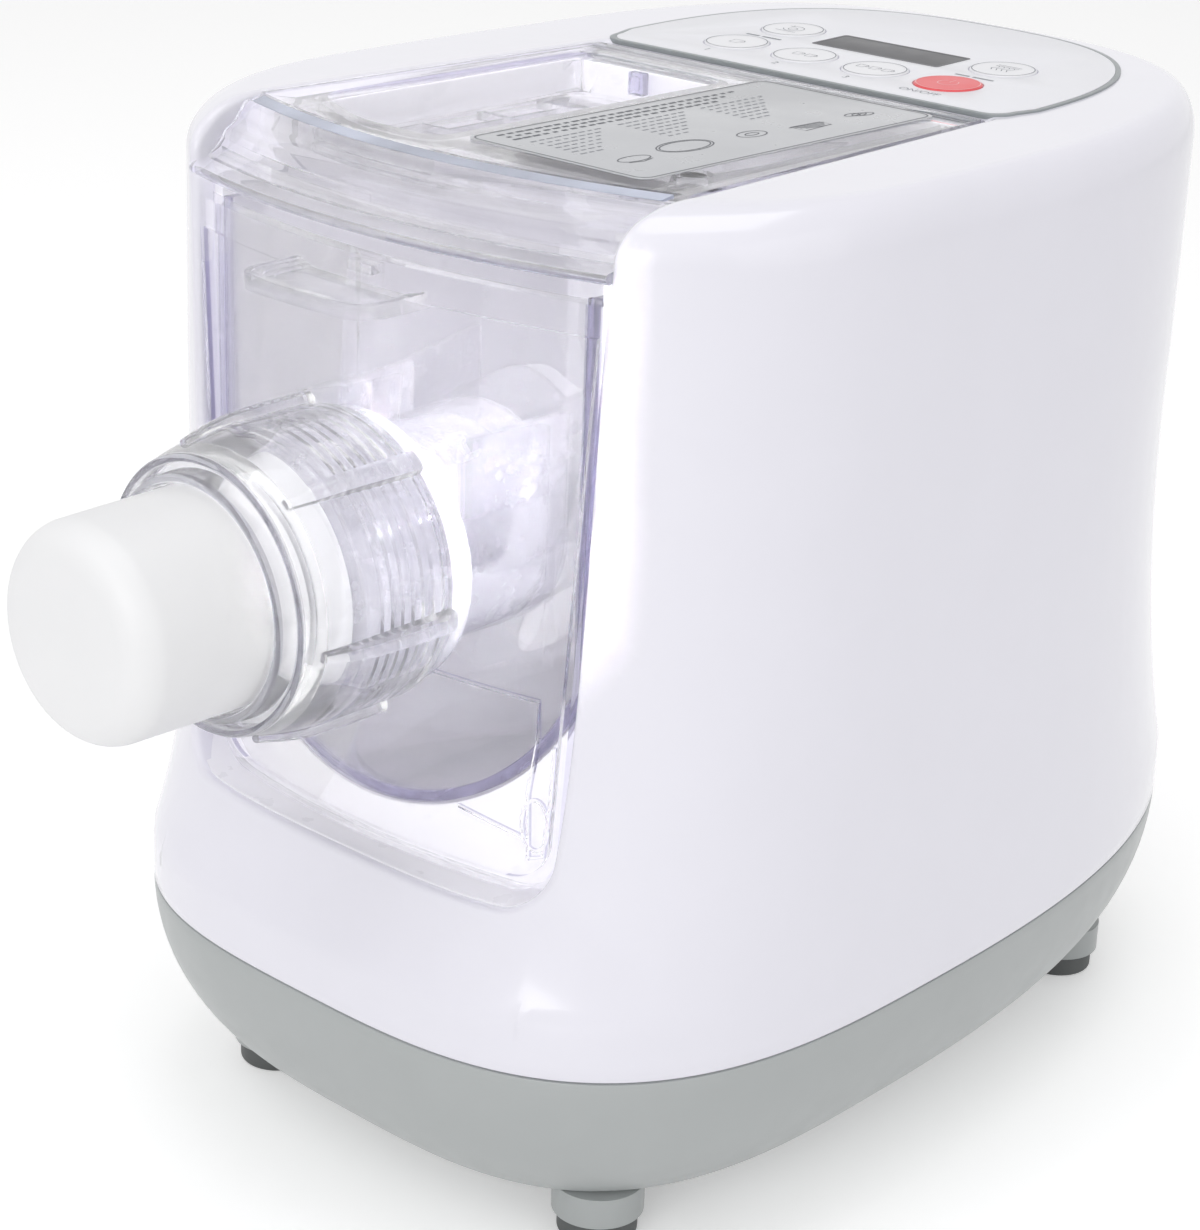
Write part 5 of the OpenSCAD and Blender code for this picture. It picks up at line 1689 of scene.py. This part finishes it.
    def catch(self) -> Piece:
        """Small square catch on the rear wall of the gutter."""
        piece = block("lid_catch", (-38.6, 33.6, 251.6), (-33.6, 36.4, 257.6))
        hollow = block("hollow", (-37.3, 33.0, 253.0), (-34.9, 34.6, 256.4))
        return soften(combine(piece, Join.REMOVE, hollow), 0.4, 2)

    def strip(self) -> Piece:
        """Bluish strip in the groove where the flat top meets the roll."""
        f, t = FRONT.flat_r, self.top
        section = [(f - 1.0, t - 1.0), (f + 2.1, t - 1.45), (f + 2.7, t - 0.95), (f - 0.9, t - 0.2)]
        strip = turned("lid_strip", section, BOW, Axis.Z, 720)
        plan = combine(prism("plan", FRONT.lid_plan(-3.0), 250.0, 270.0), Join.KEEP, self.ahead(-55.0))
        return shade(combine(strip, Join.KEEP, plan))

    @staticmethod
    def pictures() -> list[Stroke]:
        """Line pictures on the film: a bowl, two ovals, a machine and a hand."""
        def oval(x: float, y: float, a: float, b: float) -> Stroke:
            """Oval about (x, y) with the half axes a and b."""
            return ([(x + a * math.cos(t), y + b * math.sin(t)) for t in np.linspace(0, 6.1, 28)], True)

        made = [oval(38.4, -50.0, 2.2, 5.0), ([(40.5, -54.0), (41.5, -50.0), (40.5, -46.0)], False),
                oval(37.0, -31.0, 4.6, 8.6), oval(37.0, -31.0, 3.9, 7.8), oval(38.6, -9.0, 2.6, 4.6),
                oval(38.6, -9.0, 1.0, 2.2)]
        made += [([(40.0 + 0.9 * k, 3.0 + k), (41.0 + 0.9 * k, 15.0 - k)], False) for k in range(4)]
        made.append(([(39.6, 4.0), (44.4, 4.0), (43.6, 14.5), (40.2, 14.5)], True))
        return made + [oval(40.0 + 0.8 * k, 27.0 + 1.9 * k, 1.1, 2.4) for k in range(3)]

    def film(self, repeat: Repeater) -> None:
        """Builds the printed film on the lid.

        Args:
            repeat: Geometry Nodes group for the lines of print.
        """
        x0, y0, x1, y1 = self.label
        outline = rounded(rectangle(x0, y0, x1, y1), 4.0, 12)
        film = dress(soften(prism("film", outline, self.top, self.top + 0.2), 0.08, 2), Finishes.FILM)
        inset = rounded(rectangle(x0 + 0.9, y0 + 0.9, x1 - 0.9, y1 - 0.9), 3.6, 12)
        high = self.top + 0.24
        border = print_strokes("label_border", [(inset, True)], 0.4, high)
        lines = dress(merge("label_lines", [border, print_strokes("pictures", self.pictures(), 0.35, high)]),
                      Finishes.INK_DARK)
        dense = [(x0 + 4.0 + 2.7 * r + 0.05 * k, y0 + 8.0 + 3.1 * k, high)
                 for r in range(3) for k in range(27 - 2 * r)]
        faint = [(x0 + 13.5 + 2.6 * r, y0 + 9.0 + 2.7 * k, high)
                 for r in range(7) for k in range(33) if k % 11 < 9 - r]
        print_ = []
        for name, rows, finish, size in (("label_dense", dense, Finishes.INK_DARK, (1.0, 1.0, 1.0)),
                                         ("label_faint", faint, Finishes.INK, (0.85, 0.6, 1.0))):
            dash = sheet("dash", -1.35, -0.5, 1.35, 0.5)
            turns, sizes = [(0.0, 0.0, math.pi / 2)] * len(rows), [size] * len(rows)
            print_.append(repeat.spread(name, dash, rows, finish, turns, sizes, uneven=0.5, seed=11))
        show(merge("lid_label_look", [film, lines, *print_]), "lid", ["lid_label"])

    def build(self, repeat: Repeater) -> None:
        """Builds the lid and what it carries.

        Args:
            repeat: Geometry Nodes group for the print.
        """
        lid = dress(self.clear_body(), Finishes.LID, Finishes.EDGE_TINT_AND_SHADE, Finishes.DEEP_PAINTED_SHADE)
        # Side edges of the lid: lavender tint with painted edge shade.
        tint(lid, 1, lambda c, n: abs(n.x) > 0.8 and abs(c.x) > FRONT.lid_hw(c.y) - 0.7)
        # Right side of the front roll only: darker painted shade.
        tint(lid, 2, lambda c, n: n.x > 0.5 and c.x > 60.0 and c.y < -FRONT.roll_start - 8.0)
        # Outer faces of the lip: lavender tint with painted edge shade.
        tint(lid, 1, lambda c, n: n.z < 0.5 and FRONT.reach(c) > FRONT.lip_r - 1.0)
        # Right half of the lip's underside only: darker painted shade.
        tint(lid, 2, lambda c, n: n.z < 0.0 and c.x > 10.0 and FRONT.reach(c) > FRONT.lip_r - 1.6)
        show(lid, "lid", ["lid"])
        # The catch wears the lavender tint with painted edge shade.
        show(dress(self.catch(), Finishes.EDGE_TINT_AND_SHADE), "lid")
        show(dress(self.strip(), Finishes.STRIP), "lid")
        show_copy("lid_magnet", "steel", Finishes.STEEL, 0.2, body="lid")
        show_copy("hinge_pin", "steel", Finishes.STEEL, 0.2)
        self.film(repeat)


# ---------- chamber, plate and nozzle ----------


@dataclass
class Chamber:
    """Clear mixing chamber with a lavender seal at its front."""

    seal_t: float = 1.6

    def build(self) -> None:
        """Builds the chamber and its seal."""
        far = -FRONT.bow_r
        rim = FRONT.chamber_top
        body = prism("mixing_chamber_look", FRONT.trough(0.0), far, FRONT.chamber_rear, Axis.Y)
        combine(body, Join.KEEP, FRONT.disc("bow", FRONT.bow_r - FRONT.plate_t - self.seal_t, 0.0, rim))
        combine(body, Join.REMOVE,
                prism("inside", FRONT.trough(FRONT.chamber_wall), -450.0,
                      FRONT.chamber_rear - FRONT.chamber_wall, Axis.Y),
                rod("hole", 7.9, 0.0, 50.0, AXLE))
        soften(body, 0.4, 2)
        dress(body, Finishes.WALL, Finishes.EDGE_TINT_AND_SHADE)
        # Top faces of the rim: lavender tint with painted edge shade.
        tint(body, 1, lambda c, n: n.z > 0.9 and c.z > rim - 0.6)
        show(body, "chamber", ["mixing_chamber"])
        seal = prism("chamber_seal_look", FRONT.trough(0.0), far, 0.0, Axis.Y)
        combine(seal, Join.KEEP, FRONT.disc("bow", FRONT.bow_r - FRONT.plate_t - 0.3, 0.0, rim))
        combine(seal, Join.REMOVE,
                prism("inside", FRONT.trough(FRONT.chamber_wall + 0.4), -450.0, 10.0, Axis.Y),
                FRONT.disc("back", FRONT.bow_r - FRONT.plate_t - self.seal_t))
        soften(seal, 0.3, 2)
        show(dress(seal, Finishes.SEAL), "chamber", ["chamber_seal"])


@dataclass
class FrontPlate:
    """Clear bowed plate with a rim, a handle like a shallow tray, and the barrel of the auger."""

    handle_z: float = 230.6
    handle_t: float = 3.4
    handle_hw: float = 21.5
    handle_reach: float = 21.5
    barrel_r: float = 27.5
    bore_r: float = 25.2
    barrel_rear: float = -56.0
    collar_r: float = 29.8
    collar_start: float = -99.0
    collar_end: float = -129.0
    thread_h: float = 0.8
    pitch: float = 5.0

    def sheet(self) -> Piece:
        """Builds the plate with its rim and handle."""
        sheet = prism("front_plate_look", FRONT.plate(0.0), -120.0, 0.0, Axis.Y)
        combine(sheet, Join.KEEP, FRONT.disc("bow", FRONT.bow_r))
        rim = prism("rim", FRONT.plate(0.0), -120.0, 0.0, Axis.Y)
        combine(rim, Join.REMOVE, prism("field", self.field_outline(), -130.0, 10.0, Axis.Y))
        combine(rim, Join.KEEP, FRONT.disc("bow", FRONT.bow_r + 1.2))
        combine(sheet, Join.ADD, rim, self.tab(), *self.beads())
        combine(sheet, Join.REMOVE, FRONT.disc("back", FRONT.bow_r - FRONT.plate_t, -1.0),
                rod("bore", self.barrel_r, -130.0, 0.0, AXLE),
                block("catch", (-4.0, -130.0, 234.6), (4.0, -60.0, 236.8)))
        return soften(sheet, 0.5, 3, 33.0)

    def field_outline(self) -> list[Point2]:
        """Outline [x, z] of the flat field inside the rim."""
        top_hw, high = FRONT.plate_top_hw - 2.4, FRONT.chamber_top - 7.4
        lower = trough_line(FRONT.plate_low_hw - 2.2 - 11, FRONT.plate_low + 3.2 + 11, 11, 14)
        return lower + [(top_hw, high), (-top_hw, high)]

    def beads(self) -> list[Piece]:
        """Builds the raised lines, corner webs and bosses on the plate."""
        boss = [(52.4 + 3.4 * math.cos(t), 113.4 + 6.4 * math.sin(t)) for t in np.linspace(0, 6.2, 25)]
        lines = [[(22.0, 144.6), (52.6, 144.4), (52.6, 135.4)], [(52.6, 135.4), (50.4, 121.0), (50.8, 104.6)],
                 [(56.8, 134.0), (56.2, 120.0), (54.6, 106.0), (50.8, 104.6)],
                 [(31.5, 112.8), (50.2, 109.6)], boss, [(19.5, 233.8), (19.5, 241.0)]]
        made = []
        for line in lines:
            for s in (-1, 1):
                stroke = stroke_outline([(s * x, z) for x, z in line], 0.9)
                bead = prism("bead", stroke, -125.0, -70.0, Axis.Y)
                bow = FRONT.disc("bow", FRONT.bow_r + 0.7, 0.0, FRONT.chamber_top)
                made.append(combine(bead, Join.KEEP, bow))
        return made

    def tab(self) -> Piece:
        """Builds the handle with its stepped top."""
        top = self.handle_z + self.handle_t
        tab = self.rounded_reach("tab", self.handle_reach, 9.0, self.handle_z, top)
        for step, depth in ((1.5, 0.5), (3.4, 1.0), (5.3, 1.5)):
            combine(tab, Join.REMOVE, self.rounded_reach("step", self.handle_reach - step, 8.0, top - depth,
                                                         top + 4.0, step))
        return tab

    def rounded_reach(self, name: str, reach: float, corner: float, low: float, high: float,
                      inset: float = 0.0) -> Piece:
        """Slab that follows the bow in front of the plate, with soft front corners.

        Args:
            name: Name of the slab.
            reach: How far it stands out from the plate.
            corner: Length over which its corners are rounded.
            low: Its lower face.
            high: Its upper face.
            inset: How much narrower than the handle it is on each side.

        Returns:
            The closed solid.
        """
        hw = self.handle_hw - inset
        r = FRONT.bow_r + reach
        edge = [(x, FRONT.bow_y - math.sqrt(r * r - x * x)) for x in np.linspace(-hw, hw, 41)]
        soft = rounded([(-hw, -70.0), edge[0], edge[20], edge[-1], (hw, -70.0)], corner, 10)
        trimmed = [(x, max(y, FRONT.bow_y - math.sqrt(r * r - x * x))) for x, y in soft]
        return prism(name, trimmed, low, high)

    def barrel(self) -> Piece:
        """Builds the barrel with its threaded collar and fins."""
        r, bore, collar = self.barrel_r, self.bore_r, self.collar_r
        profile = [(bore, self.barrel_rear), (r, self.barrel_rear), (r, self.collar_start + 0.1),
                   (collar, self.collar_start), (collar, self.collar_end + 0.8),
                   (collar - 0.8, self.collar_end), (bore, self.collar_end)]
        barrel = turned("extrusion_barrel_look", profile, AXLE, Axis.Y, 240)
        flange = rod("flange", collar + 4.0, self.collar_start, -91.0, AXLE, Axis.Y, 240)
        combine(flange, Join.REMOVE, FRONT.disc("bow", FRONT.bow_r),
                rod("core", r - 0.6, -120.0, -60.0, AXLE, Axis.Y, 240))
        fins = twin_blocks("fin", (25.1, -90.0, FRONT.axis_z), (27.5, self.barrel_rear, FRONT.axis_z + 31.0))
        foot, peak = collar - 0.5, collar + self.thread_h
        rings = []
        y = self.collar_end + 3.0
        while y <= self.collar_start - 6.0:
            tooth = [(foot, y - 0.3), (peak, y + 0.4), (peak, y + 1.4), (foot, y + 2.1)]
            rings.append(turned("thread", tooth, AXLE, Axis.Y, 240))
            y += self.pitch
        combine(barrel, Join.ADD, flange, *fins, *rings)
        combine(barrel, Join.REMOVE, rod("clean", bore, -140.0, -40.0, AXLE, Axis.Y, 240))
        return soften(barrel, 0.4, 2, 33.0)

    def build(self) -> None:
        """Builds the plate and the barrel."""
        plate = dress(self.sheet(), Finishes.WALL, Finishes.EDGE_TINT_AND_SHADE, Finishes.DEEP_PAINTED_SHADE)
        # Side edges of the plate: lavender tint with painted edge shade.
        tint(plate, 1, lambda c, n: abs(n.x) > 0.8 and abs(c.x) > 40.0)
        # Sides of the rim, beads and bosses in front of the plate: darker painted shade.
        tint(plate, 2, lambda c, n: abs(n.y) < 0.45 and FRONT.reach(c) > FRONT.bow_r + 0.1
             and c.z < self.handle_z - 1.0)
        show(plate, "front", ["front_plate"])
        show(dress(self.barrel(), Finishes.FROST), "front", ["extrusion_barrel"])


@dataclass
class Nozzle:
    """Clamp nut with ridges, die, and the white cap in front."""

    rear: float = -101.4
    lip: float = -136.6
    front: float = -145.1
    nut_r: float = 35.5
    bore_r: float = 31.2
    open_r: float = 26.2
    ring_r: float = 32.9
    nose: float = -148.0
    cap_r: float = 25.8
    ridge_h: float = 2.8
    ridge_turn: float = 40.0
    groove: float = 3.1

    def ridge(self) -> Piece:
        """Rounded ridge that runs out over the shoulder, drawn about the top of the nut."""
        stations = ((self.rear - 0.6, 2.2, self.ridge_h - 0.7), (self.rear - 1.4, 2.7, self.ridge_h),
                    (self.rear - 14.0, 2.6, self.ridge_h), (-126.0, 2.4, self.ridge_h - 0.4),
                    (-133.0, 2.0, 1.2), (-140.0, 1.2, -0.6))
        rings = []
        for y, half, high in stations:
            top = arc((0.0, high - half * 0.5), 1.0, 0, 180, 8)
            crown = [(half * a, high - half * 0.5 + (b - high + half * 0.5) * half * 0.5) for a, b in top]
            rings.append([(a, y, b) for a, b in [(half, -3.4)] + crown + [(-half, -3.4)]])
        return through("ridge", rings)

    def nut(self, repeat: Repeater) -> Piece:
        """Builds the clear nut.

        Args:
            repeat: Geometry Nodes group for the ridges.

        Returns:
            The nut.
        """
        r, z = self.nut_r, FRONT.axis_z
        profile = [(self.bore_r, self.rear), (r - 1.4, self.rear)]
        profile += arc((r - 1.4, self.rear - 1.4), 1.4, 90, 0, 5)
        for k in range(7):
            y = self.rear - 3.4 - self.groove * k
            profile += [(r - 0.5 * w, y - a)
                        for a, w in ((0.0, 0), (0.25, 0.4), (0.55, 1), (0.85, 0.4), (1.1, 0))]
        for k in range(15):
            u = k / 14
            profile.append((lerp(self.ring_r - 0.4, r, math.cos(u * math.pi / 2) ** 0.9),
                            lerp(-125.4, -143.7, u)))
        profile += arc((self.ring_r - 1.4, self.front + 1.0), 1.0, 20, -90, 7)
        profile += [(self.ring_r - 2.2, self.front + 0.4), (self.ring_r - 2.5, self.front + 2.6),
                    (self.open_r + 2.7, self.front + 2.6), (self.open_r + 2.4, self.nose + 1.2)]
        profile += arc((self.open_r + 1.2, self.nose + 1.2), 1.2, 0, -180, 8)
        profile += [(self.open_r, self.lip), (self.bore_r, self.lip)]
        nut = turned("clamp_nut_look", profile, AXLE, Axis.Y, 288)
        turns = [math.radians(self.ridge_turn + 60 * k) for k in range(6)]
        places = [(math.sin(t) * r, 0.0, z + math.cos(t) * r) for t in turns]
        ridges = repeat.spread("ridges", self.ridge(), places, Finishes.NUT,
                               turns=[(0.0, t, 0.0) for t in turns])
        combine(nut, Join.ADD, ridges)
        return shade(nut, 28.0)

    def cap(self) -> Piece:
        """Builds the white cap."""
        r = self.cap_r
        outer = [(r, -137.6), (r, self.nose)]
        outer += [(lerp(r, 25.4, u), lerp(self.nose, -175.0, u)) for u in (0.25, 0.5, 0.75)]
        outer += arc((17.4, -175.0), 8.0, 0, -90, 14) + [(8.0, -183.0), (0.0, -183.0)]
        inner = [(0.0, -180.6), (17.4, -180.6), (22.6, -176.0), (r - 2.4, self.front), (r - 2.4, -137.6)]
        return shade(turned("die_cap_look", outer + inner, AXLE, Axis.Y, 256))

    def build(self, repeat: Repeater) -> None:
        """Builds the nozzle end.

        Args:
            repeat: Geometry Nodes group for the ridges.
        """
        nut = dress(self.nut(repeat), Finishes.NUT, Finishes.RING_PAINTED_SHADE)
        # Two rings of faces at the front get the grey painted shade.
        for inner, outer, low in ((self.ring_r - 2.2, self.ring_r + 0.1, self.front + 0.9),
                                  (self.open_r + 0.8, self.open_r + 2.5, self.nose + 1.3)):
            tint(nut, 1, lambda c, n: inner < math.hypot(c.x, c.z - FRONT.axis_z) < outer and c.y < low)
        show(nut, "nut", ["clamp_nut"])
        show(dress(self.cap(), Finishes.CAP), "cap", ["die_cap"])
        show_copy("die_disc", "white_inner", Finishes.INNER, 0.25, body="die")


@dataclass
class Mixer:
    """Auger and paddle inside the chamber."""

    front: float = -127.0
    rear: float = -58.0
    core: float = 9.0
    flight: float = 24.6
    turns: float = 2.5
    width: float = 70.0
    slices: int = 180

    def auger(self) -> Piece:
        """Builds the auger as one flight wound round a core."""
        section = [(self.core - 1, self.width * k / 8) for k in range(8, -1, -1)]
        section += [(lerp(self.core, self.flight, (k / 4) ** 0.8), 0.0) for k in range(1, 4)]
        section += [(self.flight, self.width * (0.3 + 0.4 * k / 8)) for k in range(9)]
        rings = []
        for k in range(self.slices + 1):
            u = k / self.slices
            turns = [(r, math.radians(a - 360 * self.turns * u)) for r, a in section]
            rings.append([(r * math.cos(t), lerp(self.rear, self.front, u), FRONT.axis_z + r * math.sin(t))
                          for r, t in turns])
        flight = through("auger_look", rings)
        combine(flight, Join.ADD, rod("core", self.core, self.front + 2, -48.0, AXLE, Axis.Y, 96))
        return shade(flight, 40.0)

    def build(self) -> None:
        """Builds the auger and the paddle."""
        show(dress(self.auger(), Finishes.INNER), "paddle", ["auger"])
        show_copy("mixing_paddle", "white_inner", Finishes.INNER, 1.4, 4, "paddle")


class Inside:
    """Drive and electronics, softened from the CAD."""

    PARTS = (
        ("drive_shaft", "steel", Finishes.STEEL, 0.3, 2, "output"),
        ("output_gear", "gear_plastic", Finishes.GEAR, 0.0, 2, "output"),
        ("compound_gear", "gear_plastic", Finishes.GEAR, 0.0, 2, "compound"),
        ("motor_pinion", "pinion_brass", Finishes.BRASS, 0.0, 2, "rotor"),
        ("motor_shaft", "steel", Finishes.STEEL, 0.2, 2, "rotor"),
        ("motor_fan", "black_plastic", Finishes.BLACK, 0.2, 2, "rotor"),
        ("shaft_seal", "black_plastic", Finishes.RUBBER, 0.2),
        ("front_bearing", "steel", Finishes.STEEL, 0.2),
        ("rear_bearing", "steel", Finishes.STEEL, 0.2),
        ("gearbox_front_plate", "zinc_plate", Finishes.ZINC, 0.4),
        ("gearbox_rear_plate", "zinc_plate", Finishes.ZINC, 0.4),
        ("gearbox_posts", "steel", Finishes.STEEL, 0.2),
        ("gearbox_screws", "steel", Finishes.STEEL, 0.2),
        ("compound_pin", "steel", Finishes.STEEL, 0.2),
        ("motor_can", "motor_steel", Finishes.CAN, 0.5),
        ("motor_screws", "steel", Finishes.STEEL, 0.2),
        ("power_board", "board_green", Finishes.BOARD, 0.1),
        ("transformer", "winding_yellow", Finishes.WINDING, 0.6),
        ("capacitor", "capacitor_blue", Finishes.SLEEVE, 0.8),
        ("relay", "relay_blue", Finishes.RELAY, 0.5),
        ("reed_switch", "black_plastic", Finishes.BLACK, 0.3),
        ("mains_wires", "black_plastic", Finishes.BLACK, 0.0),
        ("motor_leads", "wire_red", Finishes.WIRE_RED, 0.0),
        ("panel_cable", "wire_grey", Finishes.WIRE_GREY, 0.0),
    )

    def build(self) -> None:
        """Builds every inner piece."""
        for part in self.PARTS:
            show_copy(*part)


# ---------- studio ----------


@dataclass(frozen=True)
class Lamp:
    """Soft rectangular lamp."""

    name: str
    place: Point3
    target: Point3
    size: Point2
    power: float
    spread: float = 180.0

    def build(self) -> None:
        """Adds the lamp to the scene."""
        data = bpy.data.lights.new(self.name, "AREA")
        data.shape = "RECTANGLE"
        data.size, data.size_y = self.size
        data.energy = self.power
        data.spread = math.radians(self.spread)
        lamp = linked(self.name, data)
        lamp.location = self.place
        direction = Vector(self.target) - Vector(self.place)
        lamp.rotation_euler = direction.to_track_quat("-Z", "Y").to_euler()


@dataclass
class Studio:
    """Pale floor, white surroundings, soft lamps and the camera."""

    azimuth: float = 41.75
    elevation: float = 21.43
    roll: float = 2.08
    place: Point3 = (0.47199, -0.54172, 0.40747)
    lens: float = 86.76
    ambient: float = 0.55
    floor_size: float = 4000.0
    floor_glow: float = 0.32
    lamps: tuple[Lamp, ...] = (
        Lamp("key", (-0.5, -1.25, 1.6), (0.0, 0.0, 0.15), (1.2, 1.2), 4.3),
        Lamp("front", (0.55, -1.5, 0.75), (0.0, -0.05, 0.17), (0.8, 0.8), 6.0),
        Lamp("bay", (1.0, -1.15, 0.82), (-0.015, -0.05, 0.17), (0.05, 0.08), 0.08, spread=1.6),
        Lamp("top", (0.1, 0.1, 1.7), (0.0, 0.0, 0.2), (1.0, 1.0), 5.0),
        Lamp("side", (1.7, 0.1, 0.7), (0.0, 0.0, 0.15), (1.4, 1.4), 2.8),
    )

    def world(self) -> None:
        """White surroundings that the camera sees at full strength."""
        world = bpy.data.worlds.new("studio")
        bpy.context.scene.world = world
        world.use_nodes = True
        graph = NodeGraph(world.node_tree)
        strength = graph.add("ShaderNodeMapRange", {"Value": graph.seen(), "To Min": self.ambient,
                                                    "To Max": 1.0})
        back = graph.add("ShaderNodeBackground", {"Color": (1.0, 1.0, 1.0, 1.0),
                                                  "Strength": strength.outputs[0]})
        graph.add("ShaderNodeOutputWorld", {"Surface": back.outputs[0]})

    def floor(self) -> None:
        """Pale floor that looks white where nothing shades it."""
        r = self.floor_size
        plane = sheet("floor", -r, -r, r, r)
        dress(plane, FloorFinish("floor_pale", (0.97, 0.97, 0.97), 0.7, glow=self.floor_glow))

    def camera(self) -> None:
        """Camera at its place, turned by azimuth, elevation and roll."""
        a, e, r = (math.radians(v) for v in (self.azimuth, self.elevation, self.roll))
        back = Vector((math.sin(a) * math.cos(e), -math.cos(a) * math.cos(e), math.sin(e)))
        right = Vector((math.cos(a), math.sin(a), 0.0))
        up = back.cross(right)
        side = right * math.cos(r) + up * math.sin(r)
        rise = up * math.cos(r) - right * math.sin(r)
        data = bpy.data.cameras.new("camera")
        data.lens = self.lens
        data.sensor_width = 36.0
        data.clip_start = 0.01
        camera = linked("camera", data)
        turn = Matrix((side, rise, back)).transposed().to_4x4()
        camera.matrix_world = Matrix.Translation(self.place) @ turn
        bpy.context.scene.camera = camera

    def build(self) -> None:
        """Sets up the scene around the machine."""
        scene = bpy.context.scene
        scene.view_settings.view_transform = "Standard"
        scene.cycles.transparent_max_bounces = 32
        scene.cycles.max_bounces = 16
        scene.cycles.transmission_bounces = 16
        scene.cycles.diffuse_bounces = 6
        self.world()
        self.floor()
        for lamp in self.lamps:
            lamp.build()
        self.camera()


def main() -> None:
    """Builds the machine from the housing outwards, then the studio."""
    logging.basicConfig(level=logging.INFO, format="%(message)s")
    repeat = Repeater()
    Shell().build()
    Base().build(repeat)
    Controls().build()
    Lid().build(repeat)
    Chamber().build()
    FrontPlate().build()
    Nozzle().build(repeat)
    Mixer().build()
    Inside().build()
    Studio().build()


if __name__ == "__main__":
    main()
